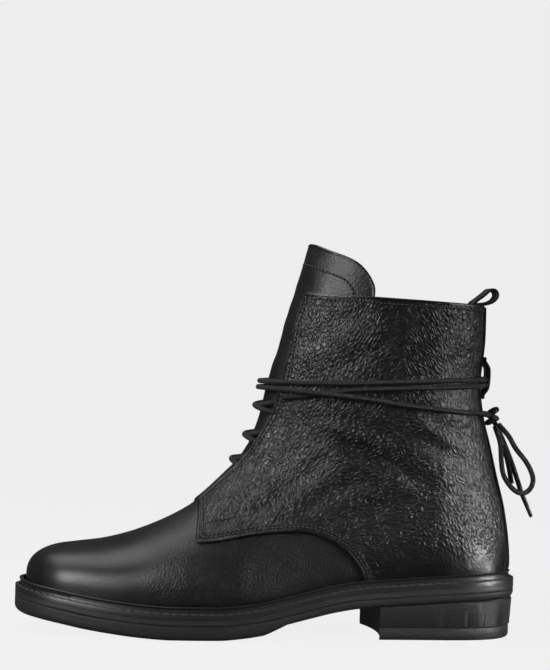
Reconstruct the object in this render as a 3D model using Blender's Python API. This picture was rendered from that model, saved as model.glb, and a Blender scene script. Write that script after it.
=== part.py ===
"""Black leather lace up ankle boot, the left one, standing empty on its sole.

Metres. The toe points to -X, the lateral side to -Y and +Z is up. The origin lies on the ground
under the middle of the heel. One form, the last, gives the upper, tongue, insole, backstay and,
through its outline at the feather line, every layer of the sole.
"""
import math
from collections import namedtuple

import bmesh
import bpy
from mathutils import Vector
from mathutils.bvhtree import BVHTree

# Driving sizes of the last
LAST_LENGTH = 0.2676         # heel back to toe tip, at the feather line
HEEL_REACH = 0.0422          # origin to the last's heel back
BALL_WIDTH = 0.088           # widest place of the forepart
INSTEP_HEIGHT = 0.100        # ground to the top of the instep, where foot turns into shaft
SHAFT_HEIGHT = 0.188         # ground to the collar, at the front
COLLAR_DROP = 0.004          # how much lower the collar is at the back
TONGUE_RISE = 0.0277         # tongue top above the collar front

# Walls and overlays
WALL = 0.0018                # vamp leather with its lining
OVERLAY = 0.0012             # quarter leather on top of that
TONGUE_WALL = 0.0022
BACKSTAY_WALL = 0.0010
BACKSTAY_WIDTH = 0.015
GAP = 0.0003                 # between pieces that touch

# Sole
WELT_WIDTH = 0.0058          # how far the sole stands out from the last
OUTSOLE_FORE = 0.0080
OUTSOLE_WAIST = 0.0050
MIDSOLE = 0.0030
WELT = 0.0030
RIB_HEIGHT = 0.0040          # raised inner rib of the welt
RIB_OUT = 0.0036             # from the last to the rib's outer side
INSOLE = 0.0030
TOE_SPRING = 0.0097
HEEL_RISE = 0.0195
TOP_LIFT = 0.0067
HEEL_BREAST = 0.081          # heel back to heel breast, along the sole
BREAST_HOLLOW = 0.0040       # how far the breast curves in
HEEL_TAPER = 0.0018
EDGE_ROUND = 0.0015
GROOVE = 0.0007              # depth of the line between two layers of the sole edge

# Straps on the back seam
STRAP_WIDTH = 0.012
STRAP_WALL = 0.0018
KEEPER_LOW = 0.1325
KEEPER_HIGH = 0.1560
KEEPER_BULGE = 0.0050
KEEPER_PAD = 0.0022          # sewn flat at its two ends
KEEPER_FLAT = 0.0057         # half of the stretch that stands off
LOOP_HEIGHT = 0.0120
LOOP_DEPTH = 0.0130
LOOP_SEWN = 0.0090           # how far the loop's two ends reach below the collar
LOOP_SEAT = 0.00180          # middle of the loop's outer end, in from the upper's inner wall
LOOP_FOLD = 0.00245          # from there to the middle of its inner end
STRAP_STEP = 0.0016          # between two points of a strap's side line

# Laces
LACE = 0.0029
AGLET_SHARE = 0.42           # the aglet's radius, as a share of the lace's diameter
BOW_STEP = 0.0064            # between two points of the bow's cords

# Mesh density
ROW_STEPS = 2                # sections between two rows of the last
RING = 24                    # points round a section
SIDE_STATIONS = 22           # stations along one side of the sole
END_SPACING = 0.55           # how much closer they stand at toe and heel
CORD_STEP = 0.0080           # between two points of a lace
FLAT_ANGLE = 1.5             # degrees under which two faces of the leather are joined into one
SOLE_FLAT_ANGLE = 0.2        # and of the sole, whose flat spot stays a face of its own

# One row for each section of the last, from the toe to above the collar. front_x, low_x: shares of
# the last's length, from the heel back. front_z, low_z: shares of the instep height. side: share
# of the ball width that the section's middle is moved to the medial side. lateral, medial: half
# widths as shares of the ball width. widest: share of the way from the low to the front point.
# front_power and low_power: 2 is an ellipse, more is squarer.
Row = namedtuple("Row", "front_x front_z low_x low_z side lateral medial widest front_power low_power")
LAST_ROWS = [
    Row(1.000, 0.270, 1.000, 0.270, 0.034, 0.000, 0.000, 0.50, 2.3, 3.0),
    Row(0.999, 0.320, 0.999, 0.170, 0.034, 0.085, 0.085, 0.45, 2.3, 3.0),
    Row(0.994, 0.362, 0.994, 0.140, 0.032, 0.155, 0.155, 0.42, 2.3, 3.0),
    Row(0.982, 0.402, 0.982, 0.127, 0.028, 0.232, 0.232, 0.42, 2.3, 3.0),
    Row(0.962, 0.436, 0.962, 0.118, 0.022, 0.303, 0.303, 0.42, 2.3, 3.0),
    Row(0.933, 0.461, 0.933, 0.107, 0.016, 0.363, 0.363, 0.41, 2.3, 3.0),
    Row(0.890, 0.477, 0.890, 0.090, 0.011, 0.417, 0.420, 0.40, 2.3, 3.0),
    Row(0.838, 0.498, 0.838, 0.070, 0.006, 0.463, 0.468, 0.38, 2.2, 3.0),
    Row(0.782, 0.540, 0.782, 0.052, 0.000, 0.495, 0.492, 0.37, 2.1, 3.0),
    Row(0.728, 0.598, 0.728, 0.043, 0.000, 0.520, 0.494, 0.36, 2.1, 3.0),
    Row(0.683, 0.662, 0.640, 0.043, 0.000, 0.535, 0.466, 0.35, 2.0, 3.0),
    Row(0.653, 0.718, 0.535, 0.062, 0.000, 0.508, 0.404, 0.34, 2.0, 3.0),
    Row(0.625, 0.788, 0.420, 0.135, 0.000, 0.456, 0.352, 0.36, 2.0, 3.2),
    Row(0.601, 0.860, 0.308, 0.200, 0.000, 0.416, 0.340, 0.38, 2.0, 3.4),
    Row(0.580, 0.930, 0.190, 0.228, 0.000, 0.396, 0.354, 0.38, 2.0, 3.5),
    Row(0.565, 1.000, 0.070, 0.245, 0.000, 0.388, 0.370, 0.38, 2.0, 3.5),
    Row(0.553, 1.065, 0.014, 0.265, 0.000, 0.382, 0.370, 0.38, 2.1, 3.0),
    Row(0.543, 1.130, -0.002, 0.370, 0.000, 0.376, 0.368, 0.38, 2.1, 2.6),
    Row(0.535, 1.195, -0.001, 0.520, 0.000, 0.372, 0.366, 0.40, 2.1, 2.4),
    Row(0.528, 1.270, 0.010, 0.710, 0.000, 0.368, 0.364, 0.42, 2.1, 2.3),
    Row(0.520, 1.370, 0.027, 0.880, 0.000, 0.370, 0.366, 0.44, 2.1, 2.3),
    Row(0.511, 1.470, 0.043, 1.050, 0.000, 0.376, 0.372, 0.46, 2.1, 2.3),
    Row(0.499, 1.580, 0.061, 1.230, 0.000, 0.386, 0.382, 0.47, 2.1, 2.3),
    Row(0.484, 1.730, 0.069, 1.420, 0.000, 0.398, 0.394, 0.48, 2.1, 2.3),
    Row(0.466, 1.900, 0.062, 1.640, 0.000, 0.408, 0.404, 0.49, 2.1, 2.3),
    Row(0.447, 2.080, 0.062, 1.880, 0.000, 0.412, 0.408, 0.49, 2.1, 2.3),
    Row(0.423, 2.300, 0.062, 2.300, 0.000, 0.414, 0.410, 0.49, 2.1, 2.3),
]

# How the sole rises from its flat spot: place as a share of the sole's length from the heel back,
# and the rise as a share of the heel rise (behind the flat spot) or of the toe spring (before it)
Rise = namedtuple("Rise", "place heel toe")
SOLE_RISE = [
    Rise(0.000, 1.000, 0.000),
    Rise(0.093, 0.955, 0.000),
    Rise(0.172, 0.885, 0.000),
    Rise(0.253, 0.800, 0.000),
    Rise(0.329, 0.715, 0.000),
    Rise(0.380, 0.600, 0.000),
    Rise(0.425, 0.450, 0.000),
    Rise(0.468, 0.300, 0.000),
    Rise(0.510, 0.165, 0.000),
    Rise(0.560, 0.055, 0.000),
    Rise(0.610, 0.000, 0.000),
    Rise(0.700, 0.000, 0.000),
    Rise(0.760, 0.000, 0.090),
    Rise(0.821, 0.000, 0.270),
    Rise(0.869, 0.000, 0.450),
    Rise(0.920, 0.000, 0.690),
    Rise(1.000, 0.000, 1.000),
]
# The flat spot under the ball, from its front to its back end
FLAT_SPOT = (0.700, 0.610)
# The forepart's step down to the thinner waist, as shares of the sole's length
STEP_FRONT = 0.520
STEP_BACK = 0.475

# The quarter's side outline: shares of the last's length from the heel back, and of the instep height
Spot = namedtuple("Spot", "along up")
QUARTER_EDGE = [
    Spot(0.646, 0.900), Spot(0.652, 0.690), Spot(0.661, 0.535), Spot(0.660, 0.524), Spot(0.620, 0.532),
    Spot(0.548, 0.568), Spot(0.476, 0.588), Spot(0.432, 0.585), Spot(0.393, 0.551),
    Spot(0.353, 0.485), Spot(0.329, 0.410), Spot(0.314, 0.329), Spot(0.305, 0.100),
]
# Half of the throat's width at a height, as shares of the ball width and the instep height
Throat = namedtuple("Throat", "up half")
THROAT_ROWS = [Throat(0.700, 0.085), Throat(0.860, 0.100), Throat(1.120, 0.165), Throat(1.350, 0.205),
               Throat(1.600, 0.215), Throat(2.300, 0.215)]
THROAT_FLOOR = 0.775         # where the opening in the wall starts, as a share of the instep height
QUARTER_NOTCH = 0.690        # where the gap between the quarters starts, on the vamp
THROAT_NARROW = 0.94         # the gap there, as a share of the throat's width

# The tongue's side outline above the collar, from its front to its back edge: shares of the last's
# length from the heel back, and of the tongue's rise above the collar
TONGUE_EDGE = [
    Spot(0.440, 1.000), Spot(0.428, 0.990), Spot(0.400, 0.860), Spot(0.370, 0.750), Spot(0.348, 0.640),
    Spot(0.334, 0.520), Spot(0.323, 0.380), Spot(0.316, 0.240), Spot(0.313, 0.000), Spot(0.330, -1.500),
    Spot(0.470, -3.300), Spot(0.615, -4.300), Spot(0.700, -4.420),
]

# The pull loop seen from its edge: shares of its depth behind the seam, and of its height above the collar
LOOP_TURN = [
    Spot(-0.25, 0.20), Spot(0.00, 0.43), Spot(0.27, 0.66), Spot(0.51, 0.88), Spot(0.75, 0.86),
    Spot(0.83, 0.62), Spot(0.66, 0.36), Spot(0.35, 0.23), Spot(0.04, 0.20), Spot(-0.105, 0.15),
]

# The lace routes, chosen by hand. A crossing runs over the tongue between two heights. A wrap's stop:
# turn in degrees from the back round the lateral side, height, and how far it is lifted off the
# quarter where it crosses another strand.
Cross = namedtuple("Cross", "low high")
CROSSINGS = [Cross(0.1205, 0.1290), Cross(0.1035, 0.1120), Cross(0.0900, 0.0970)]
CROSS_SETBACK = 0.0034
LACE_SEAT = 0.0008
AXIS_X = -0.036
Stop = namedtuple("Stop", "turn height out")
WRAP_FIRST = [
    Stop(200, 0.1305, 0.0000), Stop(213, 0.1315, 0.0000), Stop(225, 0.1330, 0.0000),
    Stop(232, 0.1343, 0.0020), Stop(240, 0.1354, 0.0034), Stop(258, 0.1379, 0.0034),
    Stop(275, 0.1398, 0.0034), Stop(288, 0.1410, 0.0030), Stop(300, 0.1419, 0.0020),
    Stop(315, 0.1427, 0.0012), Stop(330, 0.1433, 0.0008), Stop(345, 0.1437, 0.0008),
    Stop(360, 0.1437, 0.0008), Stop(375, 0.1436, 0.0008), Stop(400, 0.1428, 0.0000),
    Stop(433, 0.1415, 0.0000), Stop(465, 0.1403, 0.0000), Stop(490, 0.1396, 0.0000),
    Stop(510, 0.1391, 0.0000), Stop(522, 0.1390, 0.0000), Stop(531, 0.1390, -0.0010),
    Stop(540, 0.1390, -0.0012), Stop(549, 0.1390, -0.0010), Stop(558, 0.1389, 0.0008),
    Stop(568, 0.1376, 0.0030), Stop(577, 0.1353, 0.0034), Stop(585, 0.1330, 0.0034),
    Stop(591, 0.1311, 0.0034), Stop(598, 0.1295, 0.0026), Stop(610, 0.1282, 0.0000),
    Stop(640, 0.1268, 0.0000), Stop(670, 0.1258, 0.0000), Stop(690, 0.1250, 0.0000),
    Stop(704, 0.1242, 0.0012),
]
WRAP_SECOND = [
    Stop(160, 0.1305, 0.0000), Stop(150, 0.1318, 0.0000), Stop(140, 0.1334, 0.0000),
    Stop(129, 0.1350, 0.0000), Stop(110, 0.1366, 0.0000), Stop(73, 0.1380, 0.0000),
    Stop(40, 0.1392, 0.0000), Stop(15, 0.1400, 0.0008), Stop(0, 0.1402, 0.0008),
    Stop(-15, 0.1401, 0.0008), Stop(-40, 0.1396, 0.0000), Stop(-70, 0.1387, 0.0000),
    Stop(-100, 0.1379, 0.0000), Stop(-125, 0.1371, 0.0000), Stop(-148, 0.1362, 0.0000),
    Stop(-160, 0.1358, 0.0000), Stop(-171, 0.1356, -0.0010), Stop(-180, 0.1356, -0.0012),
    Stop(-189, 0.1355, -0.0010), Stop(-199, 0.1352, 0.0006), Stop(-209, 0.1347, 0.0024),
    Stop(-219, 0.1342, 0.0034), Stop(-231, 0.1336, 0.0034), Stop(-241, 0.1330, 0.0028),
    Stop(-251, 0.1322, 0.0008), Stop(-270, 0.1308, 0.0000), Stop(-287, 0.1292, 0.0000),
    Stop(-320, 0.1262, 0.0000), Stop(-338, 0.1247, 0.0004), Stop(-345, 0.1241, 0.0014),
]
KNOT_SIDE = -0.0035
KNOT_HEIGHT = 0.1228
KNOT_HALF = (0.0044, 0.0052, 0.0062)
KNOT_SEAT = 0.0006           # from the knot to the cords that leave it
BOW_LOOP = [
    (0.0370, -0.0108, 0.1080), (0.0378, -0.0115, 0.0980),
    (0.0392, -0.0115, 0.0905), (0.0430, -0.0112, 0.0845), (0.0475, -0.0108, 0.0808),
    (0.0515, -0.0104, 0.0802), (0.0550, -0.0100, 0.0824), (0.0568, -0.0096, 0.0868),
    (0.0560, -0.0092, 0.0915), (0.0527, -0.0087, 0.0977), (0.0465, -0.0082, 0.1053),
    (0.0424, -0.0078, 0.1120),
]
END_SHORT = [(0.0390, -0.0026, 0.1085), (0.0424, -0.0026, 0.1010), (0.0444, -0.0024, 0.0940),
             (0.0462, -0.0022, 0.0849)]
END_LONG = [(0.0408, 0.0046, 0.1118), (0.0462, 0.0034, 0.0990), (0.0499, 0.0036, 0.0895),
            (0.0532, 0.0034, 0.0800)]
AGLET_TIP = (0.0596, 0.0030, 0.0657)

SOLE_BACK = HEEL_REACH + WELT_WIDTH
SOLE_LENGTH = LAST_LENGTH + 2 * WELT_WIDTH
FAR = 1.0                                # beyond anything on the boot
PAST_TOE, PAST_HEEL = 1.1, -0.1          # shares of the last's length that clear both its ends
THROAT_DEPTH = 0.40                      # how far back the throat's cutter reaches
FEATHER_LIFT = 0.004                     # height above the midsole where the last's outline is read
FEATHER_STEPS, FEATHER_RING = 8, 96      # how finely it is read
CURVE_READS = 12                         # how finely a smooth path is read between two points
HEEL_STATIONS, HEEL_READS, BREAST_POINTS = 16, 60, 6
SLAB_STEPS = 40


def last_x(share):
    return HEEL_REACH - share * LAST_LENGTH


def instep_z(share):
    return share * INSTEP_HEIGHT


def collar_z(x):
    """Height of the collar line, straight from front to back."""
    front, back = last_x(LAST_ROWS[-2].front_x), last_x(LAST_ROWS[-2].low_x)
    share = (x - front) / (back - front)
    return SHAFT_HEIGHT - share * COLLAR_DROP


def spline(rows, index, share):
    """Catmull-Rom value between row index and the next one, column by column."""
    last = len(rows) - 1
    a, b, c, d = (rows[min(max(index + k, 0), last)] for k in (-1, 0, 1, 2))
    out = []
    for p, q, r, s in zip(a, b, c, d):
        out.append(0.5 * (2 * q + (r - p) * share + (2 * p - 5 * q + 4 * r - s) * share ** 2
                          + (3 * q - p - 3 * r + s) * share ** 3))
    return out


def smooth_rows(rows, steps):
    """The rows with steps - 1 smooth ones added between each two."""
    kind = type(rows[0])
    out = []
    for index in range(len(rows) - 1):
        out += [kind(*spline(rows, index, step / steps)) for step in range(steps)]
    return out + [rows[-1]]


def straight(rows, key, column, at):
    """Value of a column at a key, straight between rows that rise in the key."""
    if at <= getattr(rows[0], key):
        return getattr(rows[0], column)
    for low, high in zip(rows, rows[1:]):
        start, end = getattr(low, key), getattr(high, key)
        if at <= end:
            share = (at - start) / (end - start)
            return getattr(low, column) + share * (getattr(high, column) - getattr(low, column))
    return getattr(rows[-1], column)


def flowing(rows, key, column, at):
    """Value of a column at a key, on a smooth curve with no overshoot: flat parts stay flat."""
    keys = [getattr(row, key) for row in rows]
    values = [getattr(row, column) for row in rows]
    if at <= keys[0]:
        return values[0]
    if at >= keys[-1]:
        return values[-1]
    slopes = [(values[k + 1] - values[k]) / (keys[k + 1] - keys[k]) for k in range(len(keys) - 1)]
    k = max(index for index in range(len(keys) - 1) if keys[index] <= at)

    def bend(index):
        if index == 0:
            return slopes[0]
        if index == len(slopes):
            return slopes[-1]
        before, after = slopes[index - 1], slopes[index]
        return 0.0 if before * after <= 0 else 2 * before * after / (before + after)
    span = keys[k + 1] - keys[k]
    t = (at - keys[k]) / span
    return ((2 * t ** 3 - 3 * t ** 2 + 1) * values[k] + (t ** 3 - 2 * t ** 2 + t) * span * bend(k)
            + (3 * t ** 2 - 2 * t ** 3) * values[k + 1] + (t ** 3 - t ** 2) * span * bend(k + 1))


def sole_share(x):
    return (SOLE_BACK - x) / SOLE_LENGTH


def rise(x):
    """How far the sole's underside stands above the ground at x."""
    place = sole_share(x)
    return (HEEL_RISE * flowing(SOLE_RISE, "place", "heel", place)
            + TOE_SPRING * flowing(SOLE_RISE, "place", "toe", place))


def outsole_top(x):
    return rise(x) + OUTSOLE_FORE


def outsole_low(x):
    share = min(max((sole_share(x) - STEP_BACK) / (STEP_FRONT - STEP_BACK), 0.0), 1.0)
    return outsole_top(x) - OUTSOLE_WAIST - share * (OUTSOLE_FORE - OUTSOLE_WAIST)


def midsole_top(x):
    return outsole_top(x) + MIDSOLE


def section_ring(row, count):
    """Points round one section of the last, from its lateral side over the front."""
    front = Vector((last_x(row.front_x), row.side * BALL_WIDTH, instep_z(row.front_z)))
    low = Vector((last_x(row.low_x), row.side * BALL_WIDTH, instep_z(row.low_z)))
    middle = low.lerp(front, row.widest)
    ring = []
    for index in range(count):
        turn = 2 * math.pi * index / count
        across, along = -math.cos(turn), math.sin(turn)
        power = row.front_power if along >= 0 else row.low_power
        end = front if along >= 0 else low
        half = (row.medial if across > 0 else row.lateral) * BALL_WIDTH
        point = middle.lerp(end, abs(along) ** (2 / power))
        point.y += math.copysign(half * abs(across) ** (2 / power), across)
        ring.append(point)
    return ring


PARTS = None
CUTTERS = None
SURFACE = None
TONGUE_SURFACE = None


def clear_scene():
    for obj in list(bpy.data.objects):
        bpy.data.objects.remove(obj, do_unlink=True)


def add_collection(name):
    group = bpy.data.collections.new(name)
    bpy.context.scene.collection.children.link(group)
    return group


def make_object(name, points, faces, group=None):
    mesh = bpy.data.meshes.new(name)
    mesh.from_pydata([tuple(point) for point in points], [], faces)
    obj = bpy.data.objects.new(name, mesh)
    (group or CUTTERS).objects.link(obj)
    bm = bmesh.new()
    bm.from_mesh(mesh)
    bmesh.ops.recalc_face_normals(bm, faces=bm.faces)
    bm.to_mesh(mesh)
    bm.free()
    return obj


def last_form(name, inset, row_steps=ROW_STEPS, ring=RING):
    """The last as a closed form, with its surface moved inwards by inset."""
    rows = smooth_rows(LAST_ROWS, row_steps)
    rings = [section_ring(row, ring) for row in rows[1:]]
    points = [section_ring(rows[0], ring)[0]] + [point for loop in rings for point in loop]
    faces = [(0, 1 + k, 1 + (k + 1) % ring) for k in range(ring)]
    for level in range(len(rings) - 1):
        low, high = 1 + level * ring, 1 + (level + 1) * ring
        faces += [(low + k, high + k, high + (k + 1) % ring, low + (k + 1) % ring) for k in range(ring)]
    faces.append(tuple(range(1 + (len(rings) - 1) * ring, 1 + len(rings) * ring)))
    obj = make_object(name, points, faces)
    bm = bmesh.new()
    bm.from_mesh(obj.data)
    bm.normal_update()
    moves = [(vert, vert.normal.copy()) for vert in bm.verts]
    for vert, normal in moves:
        vert.co -= normal * inset
    bm.to_mesh(obj.data)
    bm.free()
    return obj


def prism(name, outline, depth_axis, low, high):
    """A closed prism: outline points (a, b) in the plane across depth_axis, from low to high."""
    def place(a, b, depth):
        return (a, depth, b) if depth_axis == "y" else (depth, a, b)
    count = len(outline)
    points = [place(a, b, low) for a, b in outline] + [place(a, b, high) for a, b in outline]
    faces = [tuple(range(count)), tuple(range(count, 2 * count))]
    faces += [(k, (k + 1) % count, count + (k + 1) % count, count + k) for k in range(count)]
    return make_object(name, points, faces)


def combine(target, other, operation):
    """Boolean of target with other, which is used up."""
    modifier = target.modifiers.new(operation.lower(), "BOOLEAN")
    modifier.operation = operation
    modifier.solver = "EXACT"
    modifier.object = other
    depsgraph = bpy.context.evaluated_depsgraph_get()
    mesh = bpy.data.meshes.new_from_object(target.evaluated_get(depsgraph))
    target.modifiers.clear()
    target.data = mesh
    bpy.data.objects.remove(other, do_unlink=True)
    return target


def finish(obj, name, material, flat_angle=FLAT_ANGLE):
    """Merge slivers, name the part, give it its material and put it among the parts."""
    bm = bmesh.new()
    bm.from_mesh(obj.data)
    bmesh.ops.remove_doubles(bm, verts=bm.verts, dist=0.00002)
    bmesh.ops.dissolve_degenerate(bm, edges=bm.edges, dist=0.00002)
    bmesh.ops.dissolve_limit(bm, angle_limit=math.radians(flat_angle), verts=bm.verts, edges=bm.edges)
    bmesh.ops.triangulate(bm, faces=[face for face in bm.faces if len(face.verts) > 4])
    bm.to_mesh(obj.data)
    bm.free()
    for group in list(obj.users_collection):
        group.objects.unlink(obj)
    PARTS.objects.link(obj)
    obj.name = name
    obj.data.name = name
    obj.data.materials.clear()
    obj.data.materials.append(material)
    obj.data.polygons.foreach_set("material_index", [0] * len(obj.data.polygons))
    obj.data.shade_smooth()
    obj.data.set_sharp_from_angle(angle=math.radians(35))
    return obj


def leather(name, colour, roughness):
    material = bpy.data.materials.new(name)
    material.use_nodes = True
    shader = material.node_tree.nodes["Principled BSDF"]
    shader.inputs["Base Color"].default_value = (*colour, 1.0)
    shader.inputs["Roughness"].default_value = roughness
    shader.inputs["Metallic"].default_value = 0.0
    return material


def feather_sides(lift):
    """Lateral and medial points of the last's outline, lift above the midsole, toe to heel."""
    sides = {-1: [], 1: []}
    quarter = FEATHER_RING // 4
    for row in smooth_rows(LAST_ROWS, FEATHER_STEPS)[1:]:
        ring = section_ring(row, FEATHER_RING)
        for sign, start in ((-1, 0), (1, 2 * quarter)):
            walk = [ring[(start + sign * k) % FEATHER_RING] for k in range(quarter + 1)]
            above = [p.z - midsole_top(p.x) - lift for p in walk]
            for k in range(quarter):
                if above[k] >= 0 > above[k + 1]:
                    share = above[k] / (above[k] - above[k + 1])
                    point = walk[k].lerp(walk[k + 1], share)
                    sides[sign].append(Vector((point.x, point.y)))
                    break
    return sides


def resample(points, count, ends=0.0):
    """count + 1 points along an open line, evenly spaced or with ends from 0 to 1 closer there."""
    lengths = [0.0]
    for a, b in zip(points, points[1:]):
        lengths.append(lengths[-1] + (b - a).length)
    out = []
    place = 0
    for step in range(count + 1):
        share = step / count
        share -= ends * math.sin(2 * math.pi * share) / (2 * math.pi)
        goal = lengths[-1] * share
        while place < len(lengths) - 2 and lengths[place + 1] < goal:
            place += 1
        span = lengths[place + 1] - lengths[place]
        out.append(points[place].lerp(points[place + 1], (goal - lengths[place]) / span))
    return out


def slid_to(points, index, x):
    """The point of an open line, toe to heel, that stands at x, near an index."""
    start = points[index]
    other = points[index + 1] if x > start.x else points[index - 1]
    return start.lerp(other, (x - start.x) / (other.x - start.x))


def sole_outline(offset, stations=SIDE_STATIONS):
    """The last's outline moved out by offset: toe tip, lateral side, heel tip, medial side."""
    sides = feather_sides(FEATHER_LIFT)
    toe = (sides[-1][0] + sides[1][0]) / 2
    heel = (sides[-1][-1] + sides[1][-1]) / 2
    toe.x = min(sides[-1][0].x, sides[1][0].x)
    heel.x = max(sides[-1][-1].x, sides[1][-1].x)
    lateral = resample([toe] + sides[-1] + [heel], stations, END_SPACING)
    medial = resample([toe] + sides[1] + [heel], stations, END_SPACING)
    for place in FLAT_SPOT:
        x = SOLE_BACK - place * SOLE_LENGTH
        index = min(range(stations), key=lambda k: abs(lateral[k].x - x))
        for side in (lateral, medial):
            side[index] = slid_to(side, index, x)
    loop = lateral + medial[-2:0:-1]
    count = len(loop)
    moved = []
    for k in range(count):
        along = (loop[(k + 1) % count] - loop[k - 1]).normalized()
        moved.append(loop[k] + Vector((-along.y, along.x)) * -offset)
    return moved


def sole_piece(name, levels, stations=SIDE_STATIONS):
    """Closed loft of the sole's outline: levels of (offset, height function), bottom to top."""
    loops = []
    for offset, height in levels:
        loops.append([Vector((p.x, p.y, height(p.x))) for p in sole_outline(offset, stations)])
    count = len(loops[0])
    points = [point for loop in loops for point in loop]
    faces = []
    for level in range(len(loops) - 1):
        low, high = level * count, (level + 1) * count
        faces += [(low + k, low + (k + 1) % count, high + (k + 1) % count, high + k) for k in range(count)]
    for base in (0, (len(loops) - 1) * count):
        faces.append((base, base + 1, base + count - 1))
        for k in range(1, count // 2 - 1):
            faces.append((base + k, base + k + 1, base + count - k - 1, base + count - k))
        faces.append((base + count // 2 - 1, base + count // 2, base + count // 2 + 1))
    return make_object(name, points, faces)


def slab(name, low, high, front, back):
    """A wide strip from height function low to high, between two x, across the whole boot."""
    stops = [front + (back - front) * k / SLAB_STEPS for k in range(SLAB_STEPS + 1)]
    bottom = [(x, low(x)) for x in stops]
    top = [(x, high(x)) for x in reversed(stops)]
    return prism(name, bottom + top, "y", -BALL_WIDTH, BALL_WIDTH)


def make_outsole(material):
    obj = sole_piece("outsole", [
        (WELT_WIDTH - 2 * EDGE_ROUND, outsole_low),
        (WELT_WIDTH - EDGE_ROUND / 2, lambda x: outsole_low(x) + EDGE_ROUND / 2),
        (WELT_WIDTH, lambda x: outsole_low(x) + 2 * EDGE_ROUND),
        (WELT_WIDTH, lambda x: outsole_top(x) - GROOVE),
        (WELT_WIDTH - GROOVE, lambda x: outsole_top(x) - GAP),
    ])
    return finish(obj, "outsole", material, SOLE_FLAT_ANGLE)


def make_midsole(material):
    obj = sole_piece("midsole", [
        (WELT_WIDTH - GROOVE, outsole_top),
        (WELT_WIDTH, lambda x: outsole_top(x) + GROOVE),
        (WELT_WIDTH, lambda x: midsole_top(x) - GAP),
    ])
    return finish(obj, "midsole", material, SOLE_FLAT_ANGLE)


def make_welt(material):
    obj = sole_piece("welt", [
        (WELT_WIDTH, midsole_top),
        (WELT_WIDTH, lambda x: midsole_top(x) + WELT - GROOVE),
        (WELT_WIDTH - GROOVE, lambda x: midsole_top(x) + WELT),
        (RIB_OUT + GROOVE / 2, lambda x: midsole_top(x) + WELT - GROOVE),
        (RIB_OUT, lambda x: midsole_top(x) + WELT + RIB_HEIGHT * 0.7),
        (RIB_OUT - GROOVE, lambda x: midsole_top(x) + WELT + RIB_HEIGHT),
    ])
    combine(obj, last_form("welt cut", -OVERLAY - GAP), "DIFFERENCE")
    return finish(obj, "welt", material, SOLE_FLAT_ANGLE)


def heel_outline(offset):
    """The heel's plan: the sole outline behind the breast, closed by the curved breast."""
    outline = sole_outline(offset, HEEL_READS)
    breast = SOLE_BACK - HEEL_BREAST
    half = len(outline) // 2
    lateral = [p for p in outline[:half + 1] if p.x > breast]
    medial = [p for p in outline[half:] if p.x > breast]
    back = resample(lateral + medial[1:], HEEL_STATIONS)
    back[0].x = back[-1].x = breast
    low, high = back[-1], back[0]
    for k in range(1, BREAST_POINTS):
        share = k / BREAST_POINTS
        point = low.lerp(high, share)
        point.x += BREAST_HOLLOW * 4 * share * (1 - share)
        back.append(point)
    return back


def heel_piece(name, levels):
    loops = [[Vector((p.x, p.y, height(p.x))) for p in heel_outline(offset)] for offset, height in levels]
    count = len(loops[0])
    points = [point for loop in loops for point in loop]
    faces = []
    for level in range(len(loops) - 1):
        low, high = level * count, (level + 1) * count
        faces += [(low + k, low + (k + 1) % count, high + (k + 1) % count, high + k) for k in range(count)]
    faces.append(tuple(range(count)))
    faces.append(tuple(range((len(loops) - 1) * count, len(loops) * count)))
    return make_object(name, points, faces)


def make_heel(block_material, lift_material):
    edge = WELT_WIDTH - HEEL_TAPER
    block = heel_piece("heel", [
        (edge - GROOVE, lambda x: TOP_LIFT + GAP),
        (edge, lambda x: TOP_LIFT + GAP + GROOVE),
        (WELT_WIDTH - GROOVE, lambda x: outsole_low(x) - GAP - GROOVE),
        (WELT_WIDTH - 2 * GROOVE, lambda x: outsole_low(x) - GAP),
    ])
    finish(block, "heel", block_material, SOLE_FLAT_ANGLE)
    lift = heel_piece("heel_top_lift", [
        (edge - EDGE_ROUND, lambda x: 0.0),
        (edge - GROOVE / 2, lambda x: EDGE_ROUND),
        (edge - GROOVE / 2, lambda x: TOP_LIFT - GROOVE),
        (edge - GROOVE, lambda x: TOP_LIFT),
    ])
    finish(lift, "heel_top_lift", lift_material, SOLE_FLAT_ANGLE)


def throat_cutter(name, floor, narrow=1.0):
    """What the throat takes out of the front wall, above a height share."""
    rows = [row for row in THROAT_ROWS if row.up > floor]
    start = Throat(floor, straight(THROAT_ROWS, "up", "half", floor))
    rows = [start] + rows
    outline = [(-row.half * BALL_WIDTH * narrow, instep_z(row.up)) for row in rows]
    outline += [(row.half * BALL_WIDTH * narrow, instep_z(row.up)) for row in reversed(rows)]
    return prism(name, outline, "x", -FAR, last_x(THROAT_DEPTH))


def make_upper(material):
    upper = last_form("upper", 0.0)
    quarter = last_form("quarter", -OVERLAY)
    edge = [(last_x(spot.along), instep_z(spot.up)) for spot in QUARTER_EDGE]
    top = SHAFT_HEIGHT + TONGUE_RISE
    edge = [(edge[0][0], top)] + edge + [(edge[-1][0], -FAR), (FAR, -FAR), (FAR, top)]
    combine(quarter, prism("quarter edge", edge, "y", -FAR, FAR), "INTERSECT")
    combine(quarter, throat_cutter("quarter throat", QUARTER_NOTCH, THROAT_NARROW), "DIFFERENCE")
    combine(upper, quarter, "UNION")
    combine(upper, last_form("inside", WALL), "DIFFERENCE")
    combine(upper, throat_cutter("throat", THROAT_FLOOR), "DIFFERENCE")
    front, back = last_x(PAST_TOE), last_x(PAST_HEEL)
    collar = [(front, collar_z(front)), (back, collar_z(back)), (back, FAR), (front, FAR)]
    combine(upper, prism("collar", collar, "y", -FAR, FAR), "DIFFERENCE")
    ground = slab("ground", lambda x: -FAR, lambda x: midsole_top(x) + GAP, front, back)
    combine(upper, ground, "DIFFERENCE")
    return finish(upper, "upper", material)


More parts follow.
